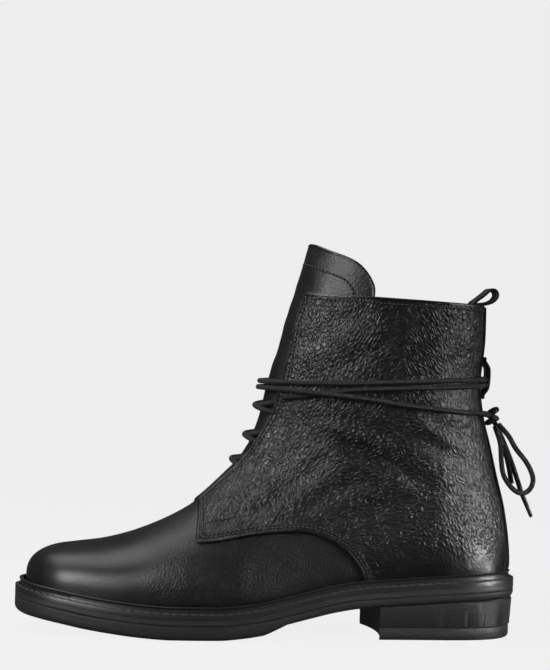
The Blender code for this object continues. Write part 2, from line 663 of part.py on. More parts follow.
def make_insole(material):
    obj = last_form("insole", WALL + GAP)
    front, back = last_x(PAST_TOE), last_x(PAST_HEEL)
    board = slab("board", lambda x: midsole_top(x) + GAP, lambda x: midsole_top(x) + INSOLE, front, back)
    combine(obj, board, "INTERSECT")
    return finish(obj, "insole", material)


def make_tongue(material):
    obj = last_form("tongue", WALL + GAP)
    combine(obj, last_form("tongue inside", WALL + GAP + TONGUE_WALL), "DIFFERENCE")
    edge = [(last_x(spot.along), SHAFT_HEIGHT + spot.up * TONGUE_RISE) for spot in TONGUE_EDGE]
    edge = [(-FAR, edge[0][1])] + edge + [(-FAR, edge[-1][1])]
    combine(obj, prism("tongue edge", edge, "y", -FAR, FAR), "INTERSECT")
    return finish(obj, "tongue", material)


def make_backstay(material):
    obj = last_form("backstay", -OVERLAY - GAP - BACKSTAY_WALL)
    combine(obj, last_form("backstay inside", -OVERLAY - GAP), "DIFFERENCE")
    top = collar_z(last_x(LAST_ROWS[-2].low_x))
    low = midsole_top(HEEL_REACH) + WELT + RIB_HEIGHT + GAP
    half = BACKSTAY_WIDTH / 2
    strip = prism("strip", [(-half, low), (half, low), (half, top), (-half, top)], "x", last_x(0.2), FAR)
    combine(obj, strip, "INTERSECT")
    return finish(obj, "backstay", material)


def strap_ring(name, path, wall):
    """A strap seen from its edge: a side path given a wall, STRAP_WIDTH wide across the back seam."""
    sides = ([], [])
    count = len(path)
    for k, point in enumerate(path):
        along = (path[min(k + 1, count - 1)] - path[max(k - 1, 0)]).normalized()
        normal = Vector((-along.y, along.x)) * wall / 2
        sides[0].append(tuple(point + normal))
        sides[1].append(tuple(point - normal))
    return prism(name, sides[0] + sides[1][::-1], "y", -STRAP_WIDTH / 2, STRAP_WIDTH / 2)


def smooth_path(points, spacing):
    """A smooth curve through hand-chosen points, read at an even spacing."""
    fine = []
    for index in range(len(points) - 1):
        fine += [Vector(spline(points, index, step / CURVE_READS)) for step in range(CURVE_READS)]
    fine.append(Vector(points[-1]))
    length = sum((b - a).length for a, b in zip(fine, fine[1:]))
    return resample(fine, max(2, round(length / spacing)))


def back_x(height):
    """How far back the backstay's outer face stands at a height."""
    hit = SURFACE.ray_cast(Vector((AXIS_X, 0, height)), Vector((1, 0, 0)))[0]
    return hit.x + GAP + BACKSTAY_WALL


def lining_x(height):
    """How far back a flat strap inside the shaft can lie at a height before its edges touch the lining."""
    edges = [SURFACE.ray_cast(Vector((AXIS_X, side * STRAP_WIDTH / 2, height)), Vector((1, 0, 0)))[0].x
             for side in (-1, 1)]
    return min(edges) - OVERLAY - WALL


def make_keeper(material):
    seat = STRAP_WALL / 2 + GAP
    middle = (KEEPER_LOW + KEEPER_HIGH) / 2
    heights = [KEEPER_HIGH, KEEPER_HIGH - KEEPER_PAD, middle + KEEPER_FLAT, middle, middle - KEEPER_FLAT,
               KEEPER_LOW + KEEPER_PAD, KEEPER_LOW]
    peak = KEEPER_BULGE - STRAP_WALL / 3
    outs = [seat, seat, 0.84 * peak, peak, 0.84 * peak, seat, seat]
    points = [(back_x(z) + out, z) for z, out in zip(heights, outs)]
    path = smooth_path(points, STRAP_STEP)
    return finish(strap_ring("lace_keeper", path, STRAP_WALL), "lace_keeper", material)


def make_pull_loop(material):
    """A strap doubled over into a teardrop, its two ends sewn on the lining under the collar."""
    top = collar_z(HEEL_REACH)
    wall = min(lining_x(top), lining_x(top - LOOP_SEWN))
    near, far = wall - LOOP_SEAT, wall - LOOP_SEAT - LOOP_FOLD
    path = [(far, top - LOOP_SEWN), (far, top - LOOP_SEWN / 9)]
    path += [(wall + turn.along * LOOP_DEPTH, top + turn.up * LOOP_HEIGHT) for turn in LOOP_TURN]
    path += [(near, top - LOOP_SEWN / 9), (near, top - LOOP_SEWN)]
    ring = strap_ring("pull_loop", smooth_path(path, STRAP_STEP), STRAP_WALL)
    low, high = top - LOOP_SEWN + GAP, top - LOOP_SEWN / 3
    inner, outer = far - 0.2 * STRAP_WALL, near + 0.2 * STRAP_WALL
    half = STRAP_WIDTH / 2 - GAP
    core = [(inner, low), (outer, low), (outer, high), (inner, high)]
    combine(ring, prism("sewn ends", core, "y", -half, half), "UNION")
    return finish(ring, "pull_loop", material)


def shaft_spot(turn, height, out):
    """Centre of a lace lying on the quarter, at a turn from the back round the lateral side."""
    heading = Vector((math.cos(math.radians(turn)), -math.sin(math.radians(turn)), 0))
    hit, normal, _, _ = SURFACE.ray_cast(Vector((AXIS_X, 0, height)), heading)
    return hit + normal * (LACE / 2 + LACE_SEAT + out)


def throat_spot(across, height, out):
    """Centre of a lace lying on the tongue, at a distance to the medial side."""
    hit, normal, _, _ = TONGUE_SURFACE.ray_cast(Vector((-FAR, across, height)), Vector((1, 0, 0)))
    return hit + normal * (LACE / 2 + LACE_SEAT + out)


def make_cord(name, points, material, depth=LACE / 2):
    curve = bpy.data.curves.new(name, "CURVE")
    curve.dimensions = "3D"
    curve.bevel_depth = depth
    curve.bevel_resolution = 2
    curve.use_fill_caps = True
    curve.materials.append(material)
    strand = curve.splines.new("POLY")
    strand.points.add(len(points) - 1)
    for slot, point in zip(strand.points, points):
        slot.co = (*point, 1.0)
    obj = bpy.data.objects.new(name, curve)
    PARTS.objects.link(obj)
    return obj


def cord_mesh(name, points, material):
    """A cord as a welded mesh, ready to be joined."""
    cord = make_cord(name + " curve", points, material)
    bpy.context.view_layer.update()
    depsgraph = bpy.context.evaluated_depsgraph_get()
    mesh = bpy.data.meshes.new_from_object(cord.evaluated_get(depsgraph))
    bm = bmesh.new()
    bm.from_mesh(mesh)
    bmesh.ops.remove_doubles(bm, verts=bm.verts, dist=0.00001)
    bmesh.ops.recalc_face_normals(bm, faces=bm.faces)
    bm.to_mesh(mesh)
    bm.free()
    obj = bpy.data.objects.new(name, mesh)
    obj.matrix_world = cord.matrix_world
    CUTTERS.objects.link(obj)
    bpy.data.objects.remove(cord, do_unlink=True)
    return obj


def make_crossings(material):
    """Each crossing is an X over the tongue, from facing edge to facing edge, joined in its middle."""
    for number, cross in enumerate(CROSSINGS, 1):
        arms = []
        for side in (-1, 1):
            low_half = throat_half(cross.low) - CROSS_SETBACK
            high_half = throat_half(cross.high) - CROSS_SETBACK
            middle = (cross.low + cross.high) / 2
            ends = [(side * -low_half, cross.low, 0.0), (side * -low_half / 2, (cross.low + middle) / 2, 0.0),
                    (0.0, middle, 0.0), (side * high_half / 2, (cross.high + middle) / 2, 0.0),
                    (side * high_half, cross.high, 0.0)]
            path = smooth_path([throat_spot(*end) for end in ends], LACE)
            arms.append(cord_mesh(f"arm {number} {side}", path, material))
        combine(arms[0], arms[1], "UNION")
        finish(arms[0], f"lace_crossing_{number}", material)


def throat_half(height):
    return straight(THROAT_ROWS, "up", "half", height / INSTEP_HEIGHT) * BALL_WIDTH


def knot_place():
    return Vector((back_x(KNOT_HEIGHT) + 1.5 * GAP + KNOT_HALF[0], KNOT_SIDE, KNOT_HEIGHT))


def knot_exit(target):
    """Where a cord that runs to target leaves the knot."""
    way = Vector(target) - knot_place()
    reach = 1 / math.sqrt(sum((c / half) ** 2 for c, half in zip(way, KNOT_HALF)))
    return knot_place() + way * reach + way.normalized() * KNOT_SEAT


def make_wraps(material):
    for name, route in (("lace_wrap_first", WRAP_FIRST), ("lace_wrap_second", WRAP_SECOND)):
        points = [shaft_spot(stop.turn, stop.height, stop.out) for stop in route]
        points.append(knot_exit(points[-1]))
        make_cord(name, smooth_path(points, CORD_STEP), material)


def make_bow(material, tip_material):
    knot = add_ball("lace_knot", knot_place(), KNOT_HALF)
    finish(knot, "lace_knot", material)
    for name, route in (("lace_end_short", END_SHORT), ("lace_end_long", END_LONG)):
        make_cord(name, smooth_path([knot_exit(route[0])] + route, BOW_STEP), material)
    loop = [knot_exit(BOW_LOOP[0])] + BOW_LOOP + [knot_exit(BOW_LOOP[-1])]
    make_cord("lace_bow_loop", smooth_path(loop, BOW_STEP), material)
    low, high = Vector(END_LONG[-1]), Vector(AGLET_TIP)
    start = low + (high - low).normalized() * GAP
    make_cord("lace_aglet", [start, start.lerp(high, 0.5), high], tip_material, LACE * AGLET_SHARE)


def add_ball(name, place, half):
    bm = bmesh.new()
    bmesh.ops.create_icosphere(bm, subdivisions=2, radius=1.0)
    for vert in bm.verts:
        vert.co = Vector(place) + Vector(tuple(c * h for c, h in zip(vert.co, half)))
    mesh = bpy.data.meshes.new(name)
    bm.to_mesh(mesh)
    bm.free()
    obj = bpy.data.objects.new(name, mesh)
    CUTTERS.objects.link(obj)
    return obj


def surface_tree(name, inset):
    """The last's surface for finding spots on it; the form is removed again."""
    obj = last_form(name, inset, 4, 2 * RING)
    bm = bmesh.new()
    bm.from_mesh(obj.data)
    tree = BVHTree.FromBMesh(bm)
    bm.free()
    bpy.data.objects.remove(obj, do_unlink=True)
    return tree


def main():
    global PARTS, CUTTERS, SURFACE, TONGUE_SURFACE
    clear_scene()
    PARTS = add_collection("lace up ankle boot")
    CUTTERS = add_collection("cutters")
    black = leather("leather black", (0.022, 0.021, 0.021), 0.42)
    smooth = leather("leather smooth black", (0.026, 0.025, 0.025), 0.36)
    rubber = leather("rubber black", (0.020, 0.020, 0.020), 0.62)
    edge = leather("welt black", (0.028, 0.028, 0.028), 0.50)
    sock = leather("insole leather", (0.040, 0.036, 0.034), 0.60)
    cord = leather("lace black", (0.018, 0.018, 0.018), 0.55)
    tip = leather("aglet black", (0.015, 0.015, 0.015), 0.35)
    SURFACE = surface_tree("outside", -OVERLAY)
    TONGUE_SURFACE = surface_tree("tongue outside", WALL + GAP)
    make_outsole(rubber)
    make_midsole(rubber)
    make_welt(edge)
    make_heel(rubber, rubber)
    make_insole(sock)
    make_upper(black)
    make_tongue(smooth)
    make_backstay(smooth)
    make_keeper(smooth)
    make_pull_loop(smooth)
    make_crossings(cord)
    make_wraps(cord)
    make_bow(cord, tip)


main()
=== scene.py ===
"""Looks of the black leather lace up ankle boot, the left one, dressed over its CAD frame.

Metres. The toe points to -X, the lateral side to -Y, +Z is up, and the origin lies on the ground
under the middle of the heel. Every leather panel is cut from one form, the last.
"""
import math
from collections import namedtuple

import bmesh
import bpy
from mathutils import Matrix, Vector, noise
from mathutils.bvhtree import BVHTree
from mathutils.kdtree import KDTree


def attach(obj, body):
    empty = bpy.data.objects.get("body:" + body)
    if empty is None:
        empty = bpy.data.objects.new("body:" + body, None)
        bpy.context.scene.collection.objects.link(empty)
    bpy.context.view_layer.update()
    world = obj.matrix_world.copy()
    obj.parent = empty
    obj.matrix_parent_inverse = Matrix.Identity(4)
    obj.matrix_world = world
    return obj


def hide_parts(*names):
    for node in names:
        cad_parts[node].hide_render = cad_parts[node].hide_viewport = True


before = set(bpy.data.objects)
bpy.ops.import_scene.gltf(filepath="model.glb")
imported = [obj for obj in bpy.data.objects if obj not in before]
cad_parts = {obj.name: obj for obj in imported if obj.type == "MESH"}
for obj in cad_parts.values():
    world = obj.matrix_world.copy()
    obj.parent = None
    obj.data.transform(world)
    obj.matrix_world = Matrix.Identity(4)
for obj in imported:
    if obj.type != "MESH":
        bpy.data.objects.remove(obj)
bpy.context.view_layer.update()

# Sizes of the last
LAST_LENGTH = 0.2676
HEEL_REACH = 0.0422
BALL_WIDTH = 0.088
INSTEP_HEIGHT = 0.100
SHAFT_HEIGHT = 0.188
COLLAR_DROP = 0.004
TONGUE_RISE = 0.0277

# Walls and overlays
WALL = 0.0018
LINING_WALL = 0.0008         # the inner part of the wall
OVERLAY = 0.0012
TONGUE_WALL = 0.0022
BACKSTAY_WALL = 0.0010
BACKSTAY_WIDTH = 0.015
GAP = 0.0003
SKIN = 0.00005               # between two leathers that are glued together
SPARE_LOW = 0.006            # how far a panel's sheet reaches past its cuts, below
SPARE_HIGH = 0.008           # and above
BACKSTAY_FROM = 0.2          # share of the last in front of which no backstay lies
TONGUE_FROM = 0.25           # share of the last behind which no tongue lies
TONGUE_LOW = 0.055

# Sole
WELT_WIDTH = 0.0058
OUTSOLE_FORE = 0.0080
OUTSOLE_WAIST = 0.0050
MIDSOLE = 0.0030
WELT = 0.0030
RIB_HEIGHT = 0.0040
RIB_OUT = 0.0036
INSOLE = 0.0030
TOE_SPRING = 0.0097
HEEL_RISE = 0.0195
TOP_LIFT = 0.0067
HEEL_BREAST = 0.081
BREAST_HOLLOW = 0.0040
HEEL_TAPER = 0.0018
EDGE_ROUND = 0.0015
GROOVE = 0.0007

# Straps on the back seam
STRAP_WIDTH = 0.012
STRAP_WALL = 0.0018
STRAP_STEP = 0.0006
KEEPER_LOW = 0.1325
KEEPER_HIGH = 0.1560
KEEPER_BULGE = 0.0050
KEEPER_PAD = 0.0022
KEEPER_FLAT = 0.0057
KEEPER_SHOULDER = 0.84       # of the full bulge, where the flat stretch ends
LOOP_HEIGHT = 0.0120
LOOP_DEPTH = 0.0130
LOOP_SEWN = 0.0090
LOOP_SEAT = 0.00180          # from the lining to the middle of the strap's inner end
LOOP_FOLD = 0.00245          # between the middles of its two sewn ends

# Laces and thread
LACE = 0.0029
AGLET_SHARE = 0.42           # its radius over the lace's thickness
AGLET_OVERLAP = 0.3          # of the lace's thickness, over which it covers the lace
THREAD = 0.00080             # thickness of the upper's thread
STITCH_PITCH = 0.0024
WELT_THREAD = 0.0013
WELT_PITCH = 0.0049
EDGE_ROLL = 0.00105          # radius of a folded leather edge
SEAM_IN = 0.0023             # from a folded edge to its stitches
SECOND_SEAM_IN = 0.0039      # to the second row, along the quarters' foot
TONGUE_SEAM_IN = 0.0110
SHADE_BAND = 0.00075            # half the width of the black band of painted shade under a row of stitches, in place of the shadow in the thread's channel
SHADE_BAND_PROUD = 0.00005
SHADE_BAND_SUNK = 0.00015
SHADE_BAND_CROWN = 0.7          # share of its width that stands proud
STITCH_FILL = 0.72           # of the pitch that a stitch covers
SEAM_SPACING = 0.0016        # between points of a seam line
SHORTEST_RIM = 0.012

# Mesh density
ROW_STEPS = 9
RING = 176
SIDE_STATIONS = 96
SLICES = 110                 # cross cuts through a sole layer
HEEL_SLICES = 40
CORD_SIDES = 5               # bevel resolution of a lace
TURN_STEPS = 24              # round one turn of the knot
AGLET_STEPS = 14

SOLE_BACK = HEEL_REACH + WELT_WIDTH
SOLE_LENGTH = LAST_LENGTH + 2 * WELT_WIDTH
FAR = 1.0
PAST_TOE, PAST_HEEL = 1.1, -0.1
THROAT_DEPTH = 0.40
FEATHER_LIFT = 0.004
FEATHER_STEPS, FEATHER_RING = 8, 96
AXIS_X = -0.036

Row = namedtuple("Row", "front_x front_z low_x low_z side lateral medial widest front_power low_power")
LAST_ROWS = [Row(*row) for row in [
    (1.000, 0.270, 1.000, 0.270, 0.034, 0.000, 0.000, 0.50, 2.3, 3.0),
    (0.999, 0.320, 0.999, 0.170, 0.034, 0.085, 0.085, 0.45, 2.3, 3.0),
    (0.994, 0.362, 0.994, 0.140, 0.032, 0.155, 0.155, 0.42, 2.3, 3.0),
    (0.982, 0.402, 0.982, 0.127, 0.028, 0.232, 0.232, 0.42, 2.3, 3.0),
    (0.962, 0.436, 0.962, 0.118, 0.022, 0.303, 0.303, 0.42, 2.3, 3.0),
    (0.933, 0.461, 0.933, 0.107, 0.016, 0.363, 0.363, 0.41, 2.3, 3.0),
    (0.890, 0.477, 0.890, 0.090, 0.011, 0.417, 0.420, 0.40, 2.3, 3.0),
    (0.838, 0.498, 0.838, 0.070, 0.006, 0.463, 0.468, 0.38, 2.2, 3.0),
    (0.782, 0.540, 0.782, 0.052, 0.000, 0.495, 0.492, 0.37, 2.1, 3.0),
    (0.728, 0.598, 0.728, 0.043, 0.000, 0.520, 0.494, 0.36, 2.1, 3.0),
    (0.683, 0.662, 0.640, 0.043, 0.000, 0.535, 0.466, 0.35, 2.0, 3.0),
    (0.653, 0.718, 0.535, 0.062, 0.000, 0.508, 0.404, 0.34, 2.0, 3.0),
    (0.625, 0.788, 0.420, 0.135, 0.000, 0.456, 0.352, 0.36, 2.0, 3.2),
    (0.601, 0.860, 0.308, 0.200, 0.000, 0.416, 0.340, 0.38, 2.0, 3.4),
    (0.580, 0.930, 0.190, 0.228, 0.000, 0.396, 0.354, 0.38, 2.0, 3.5),
    (0.565, 1.000, 0.070, 0.245, 0.000, 0.388, 0.370, 0.38, 2.0, 3.5),
    (0.553, 1.065, 0.014, 0.265, 0.000, 0.382, 0.370, 0.38, 2.1, 3.0),
    (0.543, 1.130, -0.002, 0.370, 0.000, 0.376, 0.368, 0.38, 2.1, 2.6),
    (0.535, 1.195, -0.001, 0.520, 0.000, 0.372, 0.366, 0.40, 2.1, 2.4),
    (0.528, 1.270, 0.010, 0.710, 0.000, 0.368, 0.364, 0.42, 2.1, 2.3),
    (0.520, 1.370, 0.027, 0.880, 0.000, 0.370, 0.366, 0.44, 2.1, 2.3),
    (0.511, 1.470, 0.043, 1.050, 0.000, 0.376, 0.372, 0.46, 2.1, 2.3),
    (0.499, 1.580, 0.061, 1.230, 0.000, 0.386, 0.382, 0.47, 2.1, 2.3),
    (0.484, 1.730, 0.069, 1.420, 0.000, 0.398, 0.394, 0.48, 2.1, 2.3),
    (0.466, 1.900, 0.062, 1.640, 0.000, 0.408, 0.404, 0.49, 2.1, 2.3),
    (0.447, 2.080, 0.062, 1.880, 0.000, 0.412, 0.408, 0.49, 2.1, 2.3),
    (0.423, 2.300, 0.062, 2.300, 0.000, 0.414, 0.410, 0.49, 2.1, 2.3),
]]

Rise = namedtuple("Rise", "place heel toe")
SOLE_RISE = [Rise(*row) for row in [
    (0.000, 1.000, 0.000), (0.093, 0.955, 0.000), (0.172, 0.885, 0.000),
    (0.253, 0.800, 0.000), (0.329, 0.715, 0.000), (0.380, 0.600, 0.000),
    (0.425, 0.450, 0.000), (0.468, 0.300, 0.000), (0.510, 0.165, 0.000),
    (0.560, 0.055, 0.000), (0.610, 0.000, 0.000), (0.700, 0.000, 0.000),
    (0.760, 0.000, 0.090), (0.821, 0.000, 0.270), (0.869, 0.000, 0.450),
    (0.920, 0.000, 0.690), (1.000, 0.000, 1.000),
]]
STEP_FRONT = 0.520           # the outsole thins from here
STEP_BACK = 0.475            # to here

Spot = namedtuple("Spot", "along up")
QUARTER_FRONT = [Spot(0.646, 0.900), Spot(0.652, 0.690), Spot(0.661, 0.535)]
QUARTER_FOOT = [Spot(*row) for row in [
    (0.660, 0.524), (0.620, 0.532), (0.548, 0.568), (0.476, 0.588), (0.432, 0.585),
    (0.393, 0.551), (0.353, 0.485), (0.329, 0.410), (0.314, 0.329), (0.305, 0.100),
]]
Throat = namedtuple("Throat", "up half")
THROAT_ROWS = [Throat(0.700, 0.085), Throat(0.860, 0.100), Throat(1.120, 0.165), Throat(1.350, 0.205),
               Throat(1.600, 0.215), Throat(2.300, 0.215)]
THROAT_FLOOR = 0.775
QUARTER_NOTCH = 0.690
THROAT_NARROW = 0.94
TONGUE_EDGE = [Spot(*row) for row in [
    (0.440, 1.000), (0.428, 0.990), (0.400, 0.860), (0.370, 0.750), (0.348, 0.640),
    (0.334, 0.520), (0.323, 0.380), (0.316, 0.240), (0.313, 0.000), (0.330, -1.500),
    (0.470, -3.300), (0.615, -4.300), (0.700, -4.420),
]]
LOOP_TURN = [Spot(*row) for row in [
    (-0.25, 0.20), (0.00, 0.43), (0.27, 0.66), (0.51, 0.88), (0.75, 0.86),
    (0.83, 0.62), (0.66, 0.36), (0.35, 0.23), (0.04, 0.20), (-0.105, 0.15),
]]

# The lace routes
Cross = namedtuple("Cross", "low high")
CROSSINGS = [Cross(0.1205, 0.1290), Cross(0.1035, 0.1120), Cross(0.0900, 0.0970)]
CROSS_TUCK = 0.0016          # how far a crossing's ends run in under the facing edges
CROSS_SINK = 0.0012          # and how far they go down there
CROSS_BEND = 0.55            # share of a crossing's half at which its arms bend
CROSS_LIFT = 0.55            # of the lace, by which the upper arm lies over the lower
LACE_SEAT = 0.0008
# turn in degrees from the back round the lateral side, height, and distance off the leather
Stop = namedtuple("Stop", "turn height out")
WRAP_FIRST = [Stop(*row) for row in [
    (200, 0.1305, 0.0), (213, 0.1315, 0.0), (225, 0.1330, 0.0),
    (232, 0.1343, 0.0020), (240, 0.1354, 0.0034), (258, 0.1379, 0.0034),
    (275, 0.1398, 0.0034), (288, 0.1410, 0.0030), (300, 0.1419, 0.0020),
    (315, 0.1427, 0.0012), (330, 0.1433, 0.0008), (345, 0.1437, 0.0008),
    (360, 0.1437, 0.0008), (375, 0.1436, 0.0008), (400, 0.1428, 0.0),
    (433, 0.1415, 0.0), (465, 0.1403, 0.0), (490, 0.1396, 0.0),
    (510, 0.1391, 0.0), (522, 0.1390, 0.0), (531, 0.1390, -0.0010),
    (540, 0.1390, -0.0012), (549, 0.1390, -0.0010), (558, 0.1389, 0.0008),
    (568, 0.1376, 0.0030), (577, 0.1353, 0.0034), (585, 0.1330, 0.0034),
    (591, 0.1311, 0.0034), (598, 0.1295, 0.0026), (610, 0.1282, 0.0),
    (640, 0.1268, 0.0), (670, 0.1258, 0.0), (690, 0.1250, 0.0),
    (704, 0.1242, 0.0012),
]]
WRAP_SECOND = [Stop(*row) for row in [
    (160, 0.1305, 0.0), (150, 0.1318, 0.0), (140, 0.1334, 0.0),
    (129, 0.1350, 0.0), (110, 0.1366, 0.0), (73, 0.1380, 0.0),
    (40, 0.1392, 0.0), (15, 0.1400, 0.0008), (0, 0.1402, 0.0008),
    (-15, 0.1401, 0.0008), (-40, 0.1396, 0.0), (-70, 0.1387, 0.0),
    (-100, 0.1379, 0.0), (-125, 0.1371, 0.0), (-148, 0.1362, 0.0),
    (-160, 0.1358, 0.0), (-171, 0.1356, -0.0010), (-180, 0.1356, -0.0012),
    (-189, 0.1355, -0.0010), (-199, 0.1352, 0.0006), (-209, 0.1347, 0.0024),
    (-219, 0.1342, 0.0034), (-231, 0.1336, 0.0034), (-241, 0.1330, 0.0028),
    (-251, 0.1322, 0.0008), (-270, 0.1308, 0.0), (-287, 0.1292, 0.0),
    (-320, 0.1262, 0.0), (-338, 0.1247, 0.0004), (-345, 0.1241, 0.0014),
]]
KNOT_SIDE = -0.0035
KNOT_HEIGHT = 0.1228
KNOT_HALF = (0.0044, 0.0052, 0.0062)
KNOT_SEAT = 0.0006
BOW_LOOP = [
    (0.0370, -0.0108, 0.1080), (0.0378, -0.0115, 0.0980),
    (0.0392, -0.0115, 0.0905), (0.0430, -0.0112, 0.0845), (0.0475, -0.0108, 0.0808),
    (0.0515, -0.0104, 0.0802), (0.0550, -0.0100, 0.0824), (0.0568, -0.0096, 0.0868),
    (0.0560, -0.0092, 0.0915), (0.0527, -0.0087, 0.0977), (0.0465, -0.0082, 0.1053),
    (0.0424, -0.0078, 0.1120),
]
END_SHORT = [(0.0390, -0.0026, 0.1085), (0.0424, -0.0026, 0.1010), (0.0444, -0.0024, 0.0940),
             (0.0462, -0.0022, 0.0849)]
END_LONG = [(0.0408, 0.0046, 0.1118), (0.0462, 0.0034, 0.0990), (0.0499, 0.0036, 0.0895),
            (0.0532, 0.0034, 0.0800)]
AGLET_TIP = (0.0596, 0.0030, 0.0657)


def last_x(share):
    return HEEL_REACH - share * LAST_LENGTH


def instep_z(share):
    return share * INSTEP_HEIGHT


def collar_z(x):
    """Height of the collar line, straight from front to back."""
    front, back = last_x(LAST_ROWS[-2].front_x), last_x(LAST_ROWS[-2].low_x)
    share = (x - front) / (back - front)
    return SHAFT_HEIGHT - share * COLLAR_DROP


def spline(rows, index, share):
    """Catmull-Rom value between row index and the next one, column by column."""
    last = len(rows) - 1
    a, b, c, d = (rows[min(max(index + k, 0), last)] for k in (-1, 0, 1, 2))
    out = []
    for p, q, r, s in zip(a, b, c, d):
        out.append(0.5 * (2 * q + (r - p) * share + (2 * p - 5 * q + 4 * r - s) * share ** 2
                          + (3 * q - p - 3 * r + s) * share ** 3))
    return out


def smooth_rows(rows, steps):
    """The rows with steps - 1 smooth ones added between each two."""
    kind = type(rows[0])
    out = []
    for index in range(len(rows) - 1):
        out += [kind(*spline(rows, index, step / steps)) for step in range(steps)]
    return out + [rows[-1]]


def straight(rows, key, column, at):
    """Value of a column at a key, straight between rows that rise in the key."""
    if at <= getattr(rows[0], key):
        return getattr(rows[0], column)
    for low, high in zip(rows, rows[1:]):
        start, end = getattr(low, key), getattr(high, key)
        if at <= end:
            share = (at - start) / (end - start)
            return getattr(low, column) + share * (getattr(high, column) - getattr(low, column))
    return getattr(rows[-1], column)


def flowing(rows, key, column, at):
    """Value of a column at a key, on a smooth curve with no overshoot: flat parts stay flat."""
    keys = [getattr(row, key) for row in rows]
    values = [getattr(row, column) for row in rows]
    if at <= keys[0]:
        return values[0]
    if at >= keys[-1]:
        return values[-1]
    slopes = [(values[k + 1] - values[k]) / (keys[k + 1] - keys[k]) for k in range(len(keys) - 1)]
    k = max(index for index in range(len(keys) - 1) if keys[index] <= at)

    def bend(index):
        if index == 0:
            return slopes[0]
        if index == len(slopes):
            return slopes[-1]
        before, after = slopes[index - 1], slopes[index]
        return 0.0 if before * after <= 0 else 2 * before * after / (before + after)
    span = keys[k + 1] - keys[k]
    t = (at - keys[k]) / span
    return ((2 * t ** 3 - 3 * t ** 2 + 1) * values[k] + (t ** 3 - 2 * t ** 2 + t) * span * bend(k)
            + (3 * t ** 2 - 2 * t ** 3) * values[k + 1] + (t ** 3 - t ** 2) * span * bend(k + 1))


def sole_share(x):
    return (SOLE_BACK - x) / SOLE_LENGTH


def rise(x):
    """How far the sole's underside stands above the ground at x."""
    place = sole_share(x)
    return (HEEL_RISE * flowing(SOLE_RISE, "place", "heel", place)
            + TOE_SPRING * flowing(SOLE_RISE, "place", "toe", place))


def outsole_top(x):
    return rise(x) + OUTSOLE_FORE


def outsole_low(x):
    share = min(max((sole_share(x) - STEP_BACK) / (STEP_FRONT - STEP_BACK), 0.0), 1.0)
    return outsole_top(x) - OUTSOLE_WAIST - share * (OUTSOLE_FORE - OUTSOLE_WAIST)


def midsole_top(x):
    return outsole_top(x) + MIDSOLE


def section_ring(row, count):
    """Points round one section of the last, from its lateral side over the front."""
    front = Vector((last_x(row.front_x), row.side * BALL_WIDTH, instep_z(row.front_z)))
    low = Vector((last_x(row.low_x), row.side * BALL_WIDTH, instep_z(row.low_z)))
    middle = low.lerp(front, row.widest)
    ring = []
    for index in range(count):
        turn = 2 * math.pi * index / count
        across, along = -math.cos(turn), math.sin(turn)
        power = row.front_power if along >= 0 else row.low_power
        end = front if along >= 0 else low
        half = (row.medial if across > 0 else row.lateral) * BALL_WIDTH
        point = middle.lerp(end, abs(along) ** (2 / power))
        point.y += math.copysign(half * abs(across) ** (2 / power), across)
        ring.append(point)
    return ring


# Modelling by hand

def only(obj):
    """Make one object the selected and active one."""
    bpy.ops.object.select_all(action="DESELECT")
    obj.select_set(True)
    bpy.context.view_layer.objects.active = obj


def added(name):
    obj = bpy.context.active_object
    obj.name = name
    obj.data.name = name
    return obj


def edit(obj, *steps):
    """Run operators on the whole object in edit mode."""
    only(obj)
    bpy.ops.object.mode_set(mode="EDIT")
    bpy.ops.mesh.select_all(action="SELECT")
    for step in steps:
        step()
    bpy.ops.object.mode_set(mode="OBJECT")


def outward(obj):
    edit(obj, lambda: bpy.ops.mesh.normals_make_consistent(inside=False))


def apply(obj, kind, **settings):
    """Add a modifier and apply it."""
    only(obj)
    modifier = obj.modifiers.new(kind.lower(), kind)
    for key, value in settings.items():
        setattr(modifier, key, value)
    bpy.ops.object.modifier_apply(modifier=modifier.name)


def combine(obj, other, operation="DIFFERENCE"):
    """Boolean with another object, which is used up."""
    apply(obj, "BOOLEAN", object=other, operation=operation, solver="EXACT")
    bpy.data.objects.remove(other, do_unlink=True)


def copied(obj, name):
    twin = obj.copy()
    twin.data = obj.data.copy()
    twin.name = twin.data.name = name
    bpy.context.scene.collection.objects.link(twin)
    return twin


def drop_faces(obj, unwanted):
    """Delete the faces whose middle passes the test."""
    only(obj)
    bpy.ops.object.mode_set(mode="EDIT")
    bpy.ops.mesh.select_mode(type="FACE")
    bpy.ops.object.mode_set(mode="OBJECT")
    for polygon in obj.data.polygons:
        polygon.select = unwanted(polygon.center)
    bpy.ops.object.mode_set(mode="EDIT")
    bpy.ops.mesh.delete(type="FACE")
    bpy.ops.mesh.select_mode(type="VERT")
    bpy.ops.object.mode_set(mode="OBJECT")


def filled_outline(name, outline, axis="z"):
    """A flat face with this outline, in the plane across an axis."""
    bpy.ops.mesh.primitive_circle_add(vertices=len(outline), fill_type="NGON")
    obj = added(name)
    places = {"x": lambda a, b: (0, a, b), "y": lambda a, b: (a, 0, b), "z": lambda a, b: (a, b, 0)}
    for vert, point in zip(obj.data.vertices, outline):
        vert.co = places[axis](point[0], point[1])
    return obj


def prism(name, outline, axis, low, high):
    """A closed prism: an outline in the plane across an axis, from low to high along it."""
    obj = filled_outline(name, outline, axis)
    way = Vector([float(letter == axis) for letter in "xyz"])
    edit(obj,
         lambda: bpy.ops.transform.translate(value=way * low),
         lambda: bpy.ops.mesh.extrude_region_move(TRANSFORM_OT_translate={"value": way * (high - low)}))
    outward(obj)
    return obj


def lengths_so_far(points):
    """The length of a line up to each of its points."""
    lengths = [0.0]
    for a, b in zip(points, points[1:]):
        lengths.append(lengths[-1] + (b - a).length)
    return lengths


